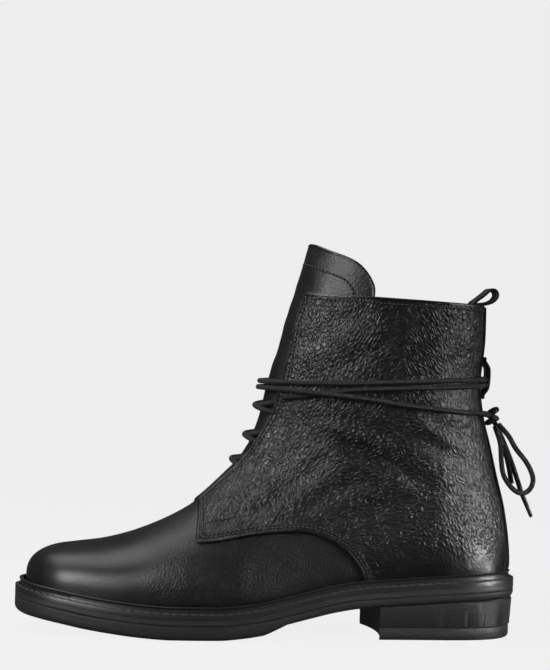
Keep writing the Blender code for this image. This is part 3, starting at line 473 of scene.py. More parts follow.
def resample(points, count, ends=0.0):
    """count + 1 points along an open line, evenly spaced or with ends from 0 to 1 closer there."""
    lengths = lengths_so_far(points)
    out = []
    place = 0
    for step in range(count + 1):
        share = step / count
        share -= ends * math.sin(2 * math.pi * share) / (2 * math.pi)
        goal = lengths[-1] * share
        while place < len(lengths) - 2 and lengths[place + 1] < goal:
            place += 1
        span = max(lengths[place + 1] - lengths[place], 1e-9)
        out.append(points[place].lerp(points[place + 1], (goal - lengths[place]) / span))
    return out


def line_length(points):
    return sum((b - a).length for a, b in zip(points, points[1:]))


def smooth_path(points, spacing, reads=12):
    """A smooth curve through given points, read at an even spacing."""
    fine = []
    for index in range(len(points) - 1):
        fine += [Vector(spline(points, index, step / reads)) for step in range(reads)]
    fine.append(Vector(points[-1]))
    return resample(fine, max(2, round(line_length(fine) / spacing)))


def tube(name, points, radius, sides=3, radii=None, closed=False):
    """A round cord along points, as a mesh."""
    curve = bpy.data.curves.new(name, "CURVE")
    curve.dimensions = "3D"
    curve.bevel_depth = radius
    curve.bevel_resolution = sides
    curve.use_fill_caps = not closed
    strand = curve.splines.new("POLY")
    strand.use_cyclic_u = closed
    strand.points.add(len(points) - 1)
    for k, (slot, point) in enumerate(zip(strand.points, points)):
        slot.co = (*point, 1.0)
        slot.radius = radii[k] if radii else 1.0
    obj = bpy.data.objects.new(name, curve)
    bpy.context.scene.collection.objects.link(obj)
    only(obj)
    bpy.ops.object.convert(target="MESH")
    obj = bpy.context.active_object
    edit(obj,
         lambda: bpy.ops.mesh.remove_doubles(threshold=0.00001),
         lambda: bpy.ops.mesh.normals_make_consistent(inside=False))
    bpy.ops.object.shade_smooth_by_angle(angle=math.radians(60))
    return obj


def from_data(name, verts, faces):
    mesh = bpy.data.meshes.new(name)
    mesh.from_pydata(verts, [], faces)
    obj = bpy.data.objects.new(name, mesh)
    bpy.context.scene.collection.objects.link(obj)
    return obj


def finder_of(points):
    """A tree that gives the nearest of the points and its index."""
    finder = KDTree(len(points))
    for k, point in enumerate(points):
        finder.insert(point, k)
    finder.balance()
    return finder


def heading(line, k):
    """The direction of a line at its point k."""
    return (line[min(k + 1, len(line) - 1)] - line[max(k - 1, 0)]).normalized()


def joined(name, pieces):
    """Several objects made one."""
    only(pieces[0])
    for piece in pieces[1:]:
        piece.select_set(True)
    if len(pieces) > 1:
        bpy.ops.object.join()
    return added(name)


# The last

def last_form(name, steps, ring):
    """The last: a sphere whose every vertex goes to its place on its section."""
    rows = smooth_rows(LAST_ROWS, steps)
    count = len(rows)
    rings = [section_ring(row, ring) for row in rows]
    bpy.ops.mesh.primitive_uv_sphere_add(segments=ring, ring_count=count, radius=1.0)
    obj = added(name)
    top = sum(rings[-1], Vector()) / ring
    for vert in obj.data.vertices:
        level = round(math.acos(max(-1.0, min(1.0, vert.co.z))) / math.pi * count)
        turn = round(math.atan2(vert.co.y, vert.co.x) / (2 * math.pi) * ring) % ring
        vert.co = top if level == count else rings[level][turn]
    outward(obj)
    return obj


def surface(name, form, outset):
    """A copy of the last, moved out along its normals."""
    obj = copied(form, name)
    edit(obj, lambda: bpy.ops.transform.shrink_fatten(value=outset))
    return obj


def tree_of(obj):
    bm = bmesh.new()
    bm.from_mesh(obj.data)
    tree = BVHTree.FromBMesh(bm)
    bm.free()
    return tree


def surface_tree(form, outset):
    obj = surface("spots", form, outset)
    tree = tree_of(obj)
    bpy.data.objects.remove(obj, do_unlink=True)
    return tree


Crease = namedtuple("Crease", "x z end_x end_z deep wide")
CREASES = [Crease(*row) for row in [
    (-0.122, 0.062, -0.100, 0.082, 0.0005, 0.0030),
    (-0.121, 0.061, -0.088, 0.074, 0.0006, 0.0032),
    (-0.118, 0.060, -0.070, 0.066, 0.0004, 0.0030),
    (-0.100, 0.070, -0.062, 0.098, 0.0006, 0.0040),
    (-0.086, 0.064, -0.040, 0.090, 0.0005, 0.0040),
    (-0.072, 0.060, -0.026, 0.076, 0.0005, 0.0036),
    (-0.066, 0.110, -0.020, 0.092, 0.0006, 0.0045),
    (-0.050, 0.104, -0.002, 0.082, 0.0005, 0.0040),
    (-0.060, 0.122, -0.018, 0.110, 0.0005, 0.0040),
    (-0.030, 0.120, 0.012, 0.098, 0.0006, 0.0045),
    (-0.012, 0.124, 0.020, 0.106, 0.0005, 0.0040),
    (-0.078, 0.160, -0.050, 0.178, 0.0005, 0.0045),
    (-0.060, 0.148, -0.030, 0.164, 0.0005, 0.0045),
    (-0.034, 0.150, 0.006, 0.176, 0.0005, 0.0045),
    (-0.010, 0.146, 0.016, 0.160, 0.0004, 0.0040),
]]


CREASE_PAST = 0.3            # of its length, by which a crease runs on past its ends
LIP_HEIGHT, LIP_OUT = 0.55, 1.7      # of a crease's depth and width: the lip beside it
LOOSE_FROM, LOOSE_OVER = 0.72, 0.05  # share of the last where loose leather starts, and its run
DENTS = [(0.00045, 62.0, (0.0, 0.0, 0.0)), (0.00022, 140.0, (3.1, 0.4, 1.7))]   # height, waves, shift


def crease_depth(point):
    """How far the leather is pushed out at a point by creases and soft dents."""
    push = 0.0
    here = Vector((point.x, point.z))
    for crease in CREASES:
        start, end = Vector((crease.x, crease.z)), Vector((crease.end_x, crease.end_z))
        way = end - start
        share = (here - start).dot(way) / way.length_squared
        if share < -CREASE_PAST or share > 1 + CREASE_PAST:
            continue
        gap = (here - start - way * min(max(share, 0.0), 1.0)).length
        fade = max(0.0, 1.0 - abs(share - 0.5) ** 4 * 6)
        push -= crease.deep * fade * math.exp(-(gap / crease.wide) ** 2)
        lip = math.exp(-((gap - LIP_OUT * crease.wide) / crease.wide) ** 2)
        push += LIP_HEIGHT * crease.deep * fade * lip
    loose = min(max((point.x - last_x(LOOSE_FROM)) / LOOSE_OVER, 0.0), 1.0)
    for height, waves, shift in DENTS:
        push += height * loose * noise.noise(point * waves + Vector(shift))
    return push


def crease(obj):
    """Push the leather in and out where it has its creases."""
    normals = [vert.normal.copy() for vert in obj.data.vertices]
    for vert, normal in zip(obj.data.vertices, normals):
        vert.co += normal * crease_depth(vert.co)


# The leather's grain: how deep it is at a point, and which way its wrinkles run

def ramp(low, high, value):
    """0 below low, 1 above high, and a soft rise between."""
    share = min(max((value - low) / (high - low), 0.0), 1.0)
    return share * share * (3 - 2 * share)


def vamp_grain(point):
    """Smooth over the toe, wrinkled where the foot bends."""
    bend = ramp(last_x(0.79), last_x(0.71), point.x) * (1 - 0.5 * ramp(last_x(0.50), last_x(0.40), point.x))
    return 0.10 + 0.90 * bend, 0.0


def quarter_grain(point):
    """Deep, but for the smooth band over the heel; the wrinkles turn from steep to flat to falling."""
    behind = ramp(last_x(0.35), last_x(0.22), point.x)
    depth = 1 - 0.8 * behind * (1 - ramp(instep_z(0.42), instep_z(0.62), point.z))
    along = point.x - 0.3 * (point.z - instep_z(0.70))
    low = 0.5 * ramp(last_x(0.50), last_x(0.38), along) + 0.5 * ramp(last_x(0.21), last_x(0.11), point.x)
    high = ramp(last_x(0.33), last_x(0.21), point.x)
    shaft = ramp(instep_z(1.15), instep_z(1.40), point.z)
    return depth, low + shaft * (high - low)


PLAIN_DEPTH, PLAIN_LAY = 0.5, 0.5


def mark_grain(obj, grain):
    """Keep the grain's depth and lay on the mesh, where the leather reads them."""
    depths = obj.data.attributes.new("grain_depth", "FLOAT", "POINT")
    lays = obj.data.attributes.new("grain_lay", "FLOAT", "POINT")
    for vert in obj.data.vertices:
        depths.data[vert.index].value, lays.data[vert.index].value = grain(vert.co)


# Cutters for the leather panels

def throat_cutter(floor, narrow=1.0):
    rows = [row for row in smooth_rows(THROAT_ROWS, 4) if row.up > floor]
    rows = [Throat(floor, straight(THROAT_ROWS, "up", "half", floor))] + rows
    outline = [(-row.half * BALL_WIDTH * narrow, instep_z(row.up)) for row in rows]
    outline += [(row.half * BALL_WIDTH * narrow, instep_z(row.up)) for row in reversed(rows)]
    return prism("throat cutter", outline, "x", -FAR, last_x(THROAT_DEPTH))


def collar_cutter():
    front, back = last_x(PAST_TOE), last_x(PAST_HEEL)
    outline = [(front, collar_z(front)), (back, collar_z(back)), (back, FAR), (front, FAR)]
    return prism("collar cutter", outline, "y", -FAR, FAR)


def slab(low, high, steps=80):
    front, back = last_x(PAST_TOE), last_x(PAST_HEEL)
    stops = [front + (back - front) * k / steps for k in range(steps + 1)]
    outline = [(x, low(x)) for x in stops] + [(x, high(x)) for x in reversed(stops)]
    return prism("slab", outline, "y", -BALL_WIDTH, BALL_WIDTH)


def ground_cutter():
    return slab(lambda x: -FAR, lambda x: midsole_top(x) + GAP)


def shell(name, form, outset, wall, unwanted):
    """A leather panel's sheet: the last's surface, cropped, with its wall grown inwards."""
    obj = surface(name, form, outset)
    drop_faces(obj, unwanted)
    apply(obj, "SOLIDIFY", thickness=wall, offset=-1.0)
    return obj


def off_upper(point):
    return point.z < midsole_top(point.x) - SPARE_LOW or point.z > SHAFT_HEIGHT + SPARE_HIGH


def trimmed(obj, throat):
    """A panel cut off at the throat, the collar and the sole."""
    for cutter in (throat, collar_cutter(), ground_cutter()):
        combine(obj, cutter)
    return obj


def make_vamp(form):
    obj = shell("vamp", form, 0.0, WALL - LINING_WALL - SKIN, off_upper)
    return trimmed(obj, throat_cutter(THROAT_FLOOR))


def make_lining(form):
    obj = shell("lining", form, LINING_WALL - WALL, LINING_WALL, off_upper)
    return trimmed(obj, throat_cutter(THROAT_FLOOR))


def make_quarters(form):
    """Both quarters, sewn at the back, lying on the vamp."""
    obj = shell("quarters", form, OVERLAY, OVERLAY - SKIN,
                lambda p: off_upper(p) or p.x < last_x(QUARTER_FRONT[-1].along + 0.03))
    top = SHAFT_HEIGHT + TONGUE_RISE
    spots = smooth_rows(QUARTER_FRONT, 4) + smooth_rows(QUARTER_FOOT, 5)
    edge = [(last_x(spot.along), instep_z(spot.up)) for spot in spots]
    edge = [(edge[0][0], top)] + edge + [(edge[-1][0], -FAR), (FAR, -FAR), (FAR, top)]
    combine(obj, prism("quarter edge", edge, "y", -FAR, FAR), "INTERSECT")
    return trimmed(obj, throat_cutter(QUARTER_NOTCH, THROAT_NARROW))


def make_tongue(form):
    obj = shell("tongue_leather", form, -WALL - GAP, TONGUE_WALL,
                lambda p: (p.x > last_x(TONGUE_FROM) or p.z < TONGUE_LOW
                           or p.z > SHAFT_HEIGHT + TONGUE_RISE + SPARE_LOW))
    spots = smooth_rows(TONGUE_EDGE, 6)
    edge = [(last_x(spot.along), SHAFT_HEIGHT + spot.up * TONGUE_RISE) for spot in spots]
    edge = [(-FAR, edge[0][1])] + edge + [(-FAR, edge[-1][1])]
    combine(obj, prism("tongue edge", edge, "y", -FAR, FAR), "INTERSECT")
    return obj


def make_backstay(form):
    obj = shell("backstay_strip", form, OVERLAY + GAP + BACKSTAY_WALL, BACKSTAY_WALL,
                lambda p: off_upper(p) or p.x < last_x(BACKSTAY_FROM) or abs(p.y) > BACKSTAY_WIDTH)
    top = collar_z(last_x(LAST_ROWS[-2].low_x))
    low = midsole_top(HEEL_REACH) + WELT + RIB_HEIGHT + GAP
    half = BACKSTAY_WIDTH / 2
    corners = [(-half, low), (half, low), (half, top), (-half, top)]
    combine(obj, prism("strip", corners, "x", last_x(BACKSTAY_FROM), FAR), "INTERSECT")
    return obj


def make_sock(form):
    obj = surface("insole_sock", form, -WALL - GAP)
    combine(obj, slab(lambda x: midsole_top(x) + GAP, lambda x: midsole_top(x) + INSOLE), "INTERSECT")
    return obj


# The sole

FEATHER = {}


def feather_sides():
    """Lateral and medial points of the last's outline, just above the midsole, toe to heel."""
    if FEATHER:
        return FEATHER
    sides = {-1: [], 1: []}
    quarter = FEATHER_RING // 4
    for row in smooth_rows(LAST_ROWS, FEATHER_STEPS)[1:]:
        ring = section_ring(row, FEATHER_RING)
        for sign, start in ((-1, 0), (1, 2 * quarter)):
            walk = [ring[(start + sign * k) % FEATHER_RING] for k in range(quarter + 1)]
            above = [p.z - midsole_top(p.x) - FEATHER_LIFT for p in walk]
            for k in range(quarter):
                if above[k] >= 0 > above[k + 1]:
                    share = above[k] / (above[k] - above[k + 1])
                    point = walk[k].lerp(walk[k + 1], share)
                    sides[sign].append(Vector((point.x, point.y)))
                    break
    FEATHER.update(sides)
    return FEATHER


def sole_outline(offset, stations=SIDE_STATIONS, ends=0.55):
    """The last's outline moved out by offset: toe tip, lateral side, heel tip, medial side."""
    sides = feather_sides()
    toe = (sides[-1][0] + sides[1][0]) / 2
    heel = (sides[-1][-1] + sides[1][-1]) / 2
    toe.x = min(sides[-1][0].x, sides[1][0].x)
    heel.x = max(sides[-1][-1].x, sides[1][-1].x)
    lateral = resample([toe] + sides[-1] + [heel], stations, ends)
    medial = resample([toe] + sides[1] + [heel], stations, ends)
    loop = lateral + medial[-2:0:-1]
    count = len(loop)
    for _ in range(3):
        loop = [(loop[k - 1] + loop[k] * 2 + loop[(k + 1) % count]) / 4 for k in range(count)]
    moved = []
    for k in range(count):
        along = (loop[(k + 1) % count] - loop[k - 1]).normalized()
        moved.append(loop[k] + Vector((-along.y, along.x)) * -offset)
    return moved


def heel_outline(offset, stations=90, breast_points=16):
    """The heel's plan: the sole outline behind the breast, closed by the curved breast."""
    outline = sole_outline(offset)
    breast = SOLE_BACK - HEEL_BREAST
    half = len(outline) // 2
    lateral = [p for p in outline[:half + 1] if p.x > breast]
    medial = [p for p in outline[half:] if p.x > breast]
    back = resample(lateral + medial[1:], stations)
    back[0].x = back[-1].x = breast
    low, high = back[-1], back[0]
    for k in range(1, breast_points):
        share = k / breast_points
        point = low.lerp(high, share)
        point.x += BREAST_HOLLOW * 4 * share * (1 - share)
        back.append(point)
    return back


def sole_piece(name, outline_of, levels, slices=SLICES):
    """A sole layer: an outline is filled, extruded through its levels, cut across and lifted to height."""
    outlines = [outline_of(offset) for offset, _ in levels]
    obj = filled_outline(name, outlines[0])
    grow = [lambda: bpy.ops.mesh.extrude_region_move(TRANSFORM_OT_translate={"value": (0, 0, 1)})]
    edit(obj, *(grow * (len(levels) - 1)))
    finder = finder_of([(point.x, point.y, 0) for point in outlines[0]])
    for vert in obj.data.vertices:
        index = finder.find((vert.co.x, vert.co.y, 0))[1]
        vert.co.xy = outlines[round(vert.co.z)][index]
    first, last = min(v.co.x for v in obj.data.vertices), max(v.co.x for v in obj.data.vertices)
    only(obj)
    bpy.ops.object.mode_set(mode="EDIT")
    for k in range(1, slices):
        bpy.ops.mesh.select_all(action="SELECT")
        bpy.ops.mesh.bisect(plane_co=(first + (last - first) * k / slices, 0, 0), plane_no=(1, 0, 0))
    bpy.ops.object.mode_set(mode="OBJECT")
    above = obj.data.attributes.new("above_ground_line", "FLOAT", "POINT")
    for vert in obj.data.vertices:
        vert.co.z = levels[round(vert.co.z)][1](vert.co.x)
        above.data[vert.index].value = vert.co.z - rise(vert.co.x)
    outward(obj)
    return obj


def over(base, lift):
    """A height above another one, both as functions of x."""
    return lambda x: base(x) + lift


def make_outsole():
    return sole_piece("outsole_layer", sole_outline, [
        (WELT_WIDTH - 2 * EDGE_ROUND, outsole_low),
        (WELT_WIDTH - EDGE_ROUND, over(outsole_low, EDGE_ROUND * 0.2)),
        (WELT_WIDTH - EDGE_ROUND * 0.35, over(outsole_low, EDGE_ROUND * 0.8)),
        (WELT_WIDTH, over(outsole_low, EDGE_ROUND * 1.7)),
        (WELT_WIDTH, over(outsole_top, -GROOVE)),
        (WELT_WIDTH - GROOVE, over(outsole_top, -GAP / 3)),
    ])


def make_midsole():
    return sole_piece("midsole_layer", sole_outline, [
        (WELT_WIDTH - GROOVE, over(outsole_top, -GAP / 3)),
        (WELT_WIDTH, over(outsole_top, GROOVE * 0.5)),
        (WELT_WIDTH, over(midsole_top, -GROOVE * 0.15)),
        (WELT_WIDTH - GROOVE * 0.15, midsole_top),
    ])


def make_welt(form):
    """The welt's flat, with its bead and groove, and the rib that stands up against the upper."""
    flat = [(-GROOVE * 0.15, 0.0), (0.0, GROOVE * 0.15), (0.0, WELT - GROOVE * 0.8),
            (-GROOVE * 0.3, WELT - GROOVE * 0.2), (-GROOVE, WELT), (-GROOVE * 1.6, WELT - GROOVE * 0.8)]
    rib = [(-GROOVE * 0.9, 0.10), (-GROOVE * 0.9, 0.62), (-GROOVE * 0.2, 0.76), (0.0, 0.88),
           (-GROOVE * 0.5, 0.98), (-GROOVE * 1.3, 1.0)]
    levels = [(WELT_WIDTH + out, over(midsole_top, lift)) for out, lift in flat]
    levels.append((RIB_OUT, over(midsole_top, WELT - GROOVE)))
    levels += [(RIB_OUT + out, over(midsole_top, WELT + RIB_HEIGHT * share)) for out, share in rib]
    obj = sole_piece("welt_strip", sole_outline, levels)
    combine(obj, surface("welt cut", form, OVERLAY + GAP / 3))
    return obj


def make_heel():
    edge = WELT_WIDTH - HEEL_TAPER
    block = sole_piece("heel_block", heel_outline, [
        (edge - GROOVE, lambda x: TOP_LIFT),
        (edge, lambda x: TOP_LIFT + GROOVE),
        (WELT_WIDTH - GROOVE, over(outsole_low, -GAP - GROOVE)),
        (WELT_WIDTH - 2 * GROOVE, over(outsole_low, -GAP / 3)),
    ], HEEL_SLICES)
    lift = sole_piece("heel_tip", heel_outline, [
        (edge - EDGE_ROUND, lambda x: 0.0),
        (edge - EDGE_ROUND * 0.6, lambda x: EDGE_ROUND * 0.25),
        (edge - GROOVE / 2, lambda x: EDGE_ROUND),
        (edge - GROOVE / 2, lambda x: TOP_LIFT - GROOVE),
        (edge - GROOVE, lambda x: TOP_LIFT),
    ], HEEL_SLICES)
    return block, lift


# Edges and stitches

ON_FACE = 0.0001             # how near a face's middle lies to the surface that it is on
SAME_WAY = 0.8               # the least cosine between the two normals


def rim_lines(obj, tree, keep):
    """Open lines along which a panel's outer face ends, where keep says so."""
    bm = bmesh.new()
    bm.from_mesh(obj.data)
    bm.normal_update()
    outer = set()
    for face in bm.faces:
        spot, normal, _, gap = tree.find_nearest(face.calc_center_median())
        if gap is not None and gap < ON_FACE and normal.dot(face.normal) > SAME_WAY:
            outer.add(face.index)
    neighbours = {}
    for edge in bm.edges:
        sides = [face.index in outer for face in edge.link_faces]
        if len(sides) == 2 and sides[0] != sides[1]:
            a, b = edge.verts
            neighbours.setdefault(a.index, []).append(b.index)
            neighbours.setdefault(b.index, []).append(a.index)
    bm.verts.ensure_lookup_table()
    places = {index: bm.verts[index].co.copy() for index in neighbours}
    bm.free()
    lines = []
    left = {index for index in neighbours if keep(places[index])}
    while left:
        start = next((i for i in sorted(left) if sum(n in left for n in neighbours[i]) < 2), min(left))
        chain = [start]
        left.discard(start)
        while True:
            following = [n for n in neighbours[chain[-1]] if n in left]
            if not following:
                break
            chain.append(following[0])
            left.discard(following[0])
        line = [places[index] for index in chain]
        if line_length(line) > SHORTEST_RIM:
            lines.append(smoothed(resample(line, max(4, round(line_length(line) / SEAM_SPACING)))))
    return lines


def smoothed(line, rounds=2):
    for _ in range(rounds):
        inner = [(line[k - 1] + line[k] * 2 + line[k + 1]) / 4 for k in range(1, len(line) - 1)]
        line = [line[0]] + inner + [line[-1]]
    return line


CORNER_CLEAR = 0.86          # of the inset, closer than which a point has cut a corner


def inset_line(line, tree, panel_tree, distance):
    """The line moved across the surface onto the panel."""
    moved = []
    for k, point in enumerate(line):
        side = tree.find_nearest(point)[1].cross(heading(line, k))
        options = []
        for sign in (-1, 1):
            spot = tree.find_nearest(point + side * sign * distance)[0]
            options.append((panel_tree.find_nearest(spot)[3], sign, spot))
        moved.append(min(options, key=lambda option: option[0])[2])
    finder = finder_of(line)
    return smoothed([spot for spot in moved if finder.find(spot)[2] > CORNER_CLEAR * distance], 1)


STITCH = {}


def stitch_shape():
    """One stitch, lying along X on the XY plane: a sphere drawn out to a short rod."""
    if not STITCH:
        bpy.ops.mesh.primitive_uv_sphere_add(segments=8, ring_count=6, radius=0.5)
        obj = added("stitch")
        edit(obj, lambda: bpy.ops.transform.rotate(value=math.pi / 2, orient_axis="Y",
                                                   center_override=(0, 0, 0)))
        STITCH["verts"] = [vert.co.copy() for vert in obj.data.vertices]
        STITCH["faces"] = [tuple(polygon.vertices) for polygon in obj.data.polygons]
        bpy.data.objects.remove(obj, do_unlink=True)
    return STITCH["verts"], STITCH["faces"]


BLUNT = 0.6                  # below 1, a stitch's ends are blunter than a sphere's
STITCH_HEIGHT = 0.8          # of the thread's thickness
STITCH_LIFT = 0.07           # of it too, how far a stitch's middle stands off the leather
STITCH_ENDS = 0.4            # of it too, by which a stitch is longer than its share of the pitch


def stitches(name, rows, pitch, thread):
    """Rows of stitches as one mesh. A row is a list of (point, normal) pairs along a line."""
    shape, faces = stitch_shape()
    verts, polygons = [], []
    for row in rows:
        points = [point for point, _ in row]
        normals = finder_of(points)
        count = max(1, round(line_length(points) / pitch))
        stops = resample(points, count)
        for a, b in zip(stops, stops[1:]):
            middle = (a + b) / 2
            up = row[normals.find(middle)[1]][1]
            along = (b - a).normalized()
            across = up.cross(along).normalized()
            up = along.cross(across)
            length = (b - a).length * STITCH_FILL + thread * STITCH_ENDS
            base = len(verts)
            for co in shape:
                blunt = math.copysign(abs(co.x * 2) ** BLUNT / 2, co.x)
                verts.append(middle + along * blunt * length + across * co.y * thread
                             + up * (co.z * STITCH_HEIGHT + STITCH_LIFT) * thread)
            polygons += [tuple(base + index for index in face) for face in faces]
    obj = from_data(name, verts, polygons)
    outward(obj)
    bpy.ops.object.shade_smooth()
    return obj


def on_surface(line, tree):
    """The line's nearest points on a surface, each with its normal."""
    return [tree.find_nearest(point)[:2] for point in line]


def seam_lines(lines, tree, panel_tree, distance):
    """Rows of points and normals at a distance inside a panel's rim lines."""
    return [on_surface(inset_line(line, tree, panel_tree, distance), tree) for line in lines]


def rolled_edges(name, lines, tree, radius, sink):
    """Folded leather edges along lines on a surface."""
    pieces = []
    for k, line in enumerate(lines):
        points = [spot - normal * sink for spot, normal in on_surface(line, tree)]
        pieces.append(tube(f"{name} {k}", points, radius, 2))
    return joined(name, pieces)


def painted_shade_bands(name, rows):
    """Black bands a sliver proud of the leather under rows of stitches: painted shade that stands in for the
    shadow in the channel that the thread presses in.
    """
    verts, faces = [], []
    for row in rows:
        if len(row) < 3:
            continue
        base, last = len(verts), len(row) - 1
        spots = [spot for spot, _ in row]
        for k, (spot, normal) in enumerate(row):
            across = normal.cross(heading(spots, k)).normalized() * SHADE_BAND
            for share, up in ((-1, -SHADE_BAND_SUNK), (-SHADE_BAND_CROWN, SHADE_BAND_PROUD),
                              (SHADE_BAND_CROWN, SHADE_BAND_PROUD), (1, -SHADE_BAND_SUNK)):
                verts.append(spot + across * share + normal * up)
        for k in range(base, base + 4 * last, 4):
            faces += [(k + i, k + (i + 1) % 4, k + 4 + (i + 1) % 4, k + 4 + i) for i in range(4)]
        faces += [tuple(range(base, base + 4)), tuple(range(base + 4 * last, base + 4 * last + 4))]
    obj = from_data(name, verts, faces)
    outward(obj)
    return obj


# The bartack: two rows at each quarter's foot, from its front edge to the bar
BARTACK = (Spot(0.6540, 0.612), Spot(0.5860, 0.650))
BARTACK_TURN = Spot(0.5790, 0.690)


def bartack_rows(tree):
    rows = []
    for side in (-1, 1):
        for ends in (BARTACK, (BARTACK[1], BARTACK_TURN)):
            stops = [Vector((last_x(spot.along), side * FAR, instep_z(spot.up))) for spot in ends]
            rows.append([tree.ray_cast(point, Vector((0, -side, 0)))[:2] for point in resample(stops, 10)])
    return rows


# Straps on the back seam

def strap(name, path):
    """A leather strap seen from its edge: a side line drawn out across the seam, given its wall."""
    bpy.ops.mesh.primitive_grid_add(x_subdivisions=len(path) - 1, y_subdivisions=1, size=1.0)
    obj = added(name)
    for vert in obj.data.vertices:
        point = path[round((vert.co.x + 0.5) * (len(path) - 1))]
        vert.co = point[0], math.copysign(STRAP_WIDTH / 2, vert.co.y), point[1]
    apply(obj, "SOLIDIFY", thickness=STRAP_WALL, offset=0.0)
    outward(obj)
    apply(obj, "BEVEL", width=STRAP_WALL * 0.3, segments=3, limit_method="ANGLE",
          angle_limit=math.radians(50))
    bpy.ops.object.shade_smooth_by_angle(angle=math.radians(50))
    return obj


def back_x(tree, height):
    """How far back the backstay's outer face stands at a height."""
    return tree.ray_cast(Vector((AXIS_X, 0, height)), Vector((1, 0, 0)))[0].x + GAP + BACKSTAY_WALL


def lining_x(tree, height):
    """How far back a flat strap inside the shaft can lie before its edges touch the lining."""
    edges = [tree.ray_cast(Vector((AXIS_X, side * STRAP_WIDTH / 2, height)), Vector((1, 0, 0)))[0].x
             for side in (-1, 1)]
    return min(edges) - OVERLAY - WALL


def make_keeper(tree):
    seat = STRAP_WALL / 2 + GAP / 3
    middle = (KEEPER_LOW + KEEPER_HIGH) / 2
    heights = [KEEPER_HIGH, KEEPER_HIGH - KEEPER_PAD, middle + KEEPER_FLAT, middle, middle - KEEPER_FLAT,
               KEEPER_LOW + KEEPER_PAD, KEEPER_LOW]
    peak = KEEPER_BULGE - STRAP_WALL / 3
    shoulder = KEEPER_SHOULDER * peak
    outs = [seat, seat, shoulder, peak, shoulder, seat, seat]
    points = [(back_x(tree, z) + out, z) for z, out in zip(heights, outs)]
    return strap("keeper_strap", smooth_path(points, STRAP_STEP))


def make_pull_loop(tree):
    top = collar_z(HEEL_REACH)
    wall = min(lining_x(tree, top), lining_x(tree, top - LOOP_SEWN))
    near, far = wall - LOOP_SEAT, wall - LOOP_SEAT - LOOP_FOLD
    path = [(far, top - LOOP_SEWN), (far, top - LOOP_SEWN / 9)]
    path += [(wall + turn.along * LOOP_DEPTH, top + turn.up * LOOP_HEIGHT) for turn in LOOP_TURN]
    path += [(near, top - LOOP_SEWN / 9), (near, top - LOOP_SEWN)]
    return strap("heel_pull", smooth_path(path, STRAP_STEP))


# Laces

def lace_spot(tree, start, way, out):
    """Centre of a lace that lies where a ray from start meets the surface."""
    hit, normal = tree.ray_cast(start, way)[:2]
    return hit + normal * (LACE / 2 + LACE_SEAT + out)


def shaft_spot(tree, turn, height, out):
    """Centre of a lace lying on the quarter, at a turn from the back round the lateral side."""
    way = Vector((math.cos(math.radians(turn)), -math.sin(math.radians(turn)), 0))
    return lace_spot(tree, Vector((AXIS_X, 0, height)), way, out)


def throat_spot(tree, across, height, out):
    return lace_spot(tree, Vector((-FAR, across, height)), Vector((1, 0, 0)), out)


def throat_half(height):
    return straight(THROAT_ROWS, "up", "half", height / INSTEP_HEIGHT) * BALL_WIDTH


def knot_place(tree):
    return Vector((back_x(tree, KNOT_HEIGHT) + 1.5 * GAP + KNOT_HALF[0], KNOT_SIDE, KNOT_HEIGHT))


def knot_exit(tree, target):
    """Where a cord that runs to target leaves the knot."""
    way = Vector(target) - knot_place(tree)
    reach = 1 / math.sqrt(sum((c / half) ** 2 for c, half in zip(way, KNOT_HALF)))
    return knot_place(tree) + way * reach + way.normalized() * KNOT_SEAT


def lace_cord_along(name, path):
    obj = tube(name, path, LACE / 2, CORD_SIDES)
    mark_braid(obj, path)
    return obj


def make_crossings(tree):
    """Each crossing is an X over the tongue; the upper arm lies over the lower one."""
    pieces = []
    for number, cross in enumerate(CROSSINGS, 1):
        arms = []
        for side in (-1, 1):
            low_half = throat_half(cross.low) + CROSS_TUCK
            high_half = throat_half(cross.high) + CROSS_TUCK
            middle = (cross.low + cross.high) / 2
            lift = 0.0 if side < 0 else LACE * CROSS_LIFT
            ends = [(side * -low_half, cross.low, -CROSS_SINK),
                    (side * -low_half * CROSS_BEND, (cross.low + middle) / 2, 0),
                    (0.0, middle, lift),
                    (side * high_half * CROSS_BEND, (cross.high + middle) / 2, 0),
                    (side * high_half, cross.high, -CROSS_SINK)]
            path = smooth_path([throat_spot(tree, *end) for end in ends], LACE / 3)
            arms.append(lace_cord_along(f"arm {number} {side}", path))
        pieces.append(joined(f"crossing_{number}", arms))
    return pieces


def make_laces(tree):
    """Wraps, bow loop and ends, which all run out of the knot. Gives their objects with their paths."""
    cords = {}
    for name, route in (("wrap_first", WRAP_FIRST), ("wrap_second", WRAP_SECOND)):
        points = [shaft_spot(tree, stop.turn, stop.height, stop.out) for stop in route]
        points.append(knot_exit(tree, points[-1]))
        cords[name] = smooth_path(points, LACE / 2)
    for name, route in (("end_short", END_SHORT), ("end_long", END_LONG)):
        cords[name] = smooth_path([knot_exit(tree, route[0])] + route, LACE / 3)
    loop = [knot_exit(tree, BOW_LOOP[0])] + BOW_LOOP + [knot_exit(tree, BOW_LOOP[-1])]
    cords["bow_loop"] = smooth_path(loop, LACE / 3)
    return {name: (lace_cord_along(name, path), path) for name, path in cords.items()}


def make_aglet():
    low, high = Vector(END_LONG[-1]), Vector(AGLET_TIP)
    start = low - (high - low).normalized() * LACE * AGLET_OVERLAP
    points = [start.lerp(high, k / AGLET_STEPS) for k in range(AGLET_STEPS + 1)]
    taper = [1.22, 1.25] + [1.18 - 0.30 * k / AGLET_STEPS for k in range(2, AGLET_STEPS)] + [0.62]
    return tube("aglet_tip", points, LACE * AGLET_SHARE, 4, taper)


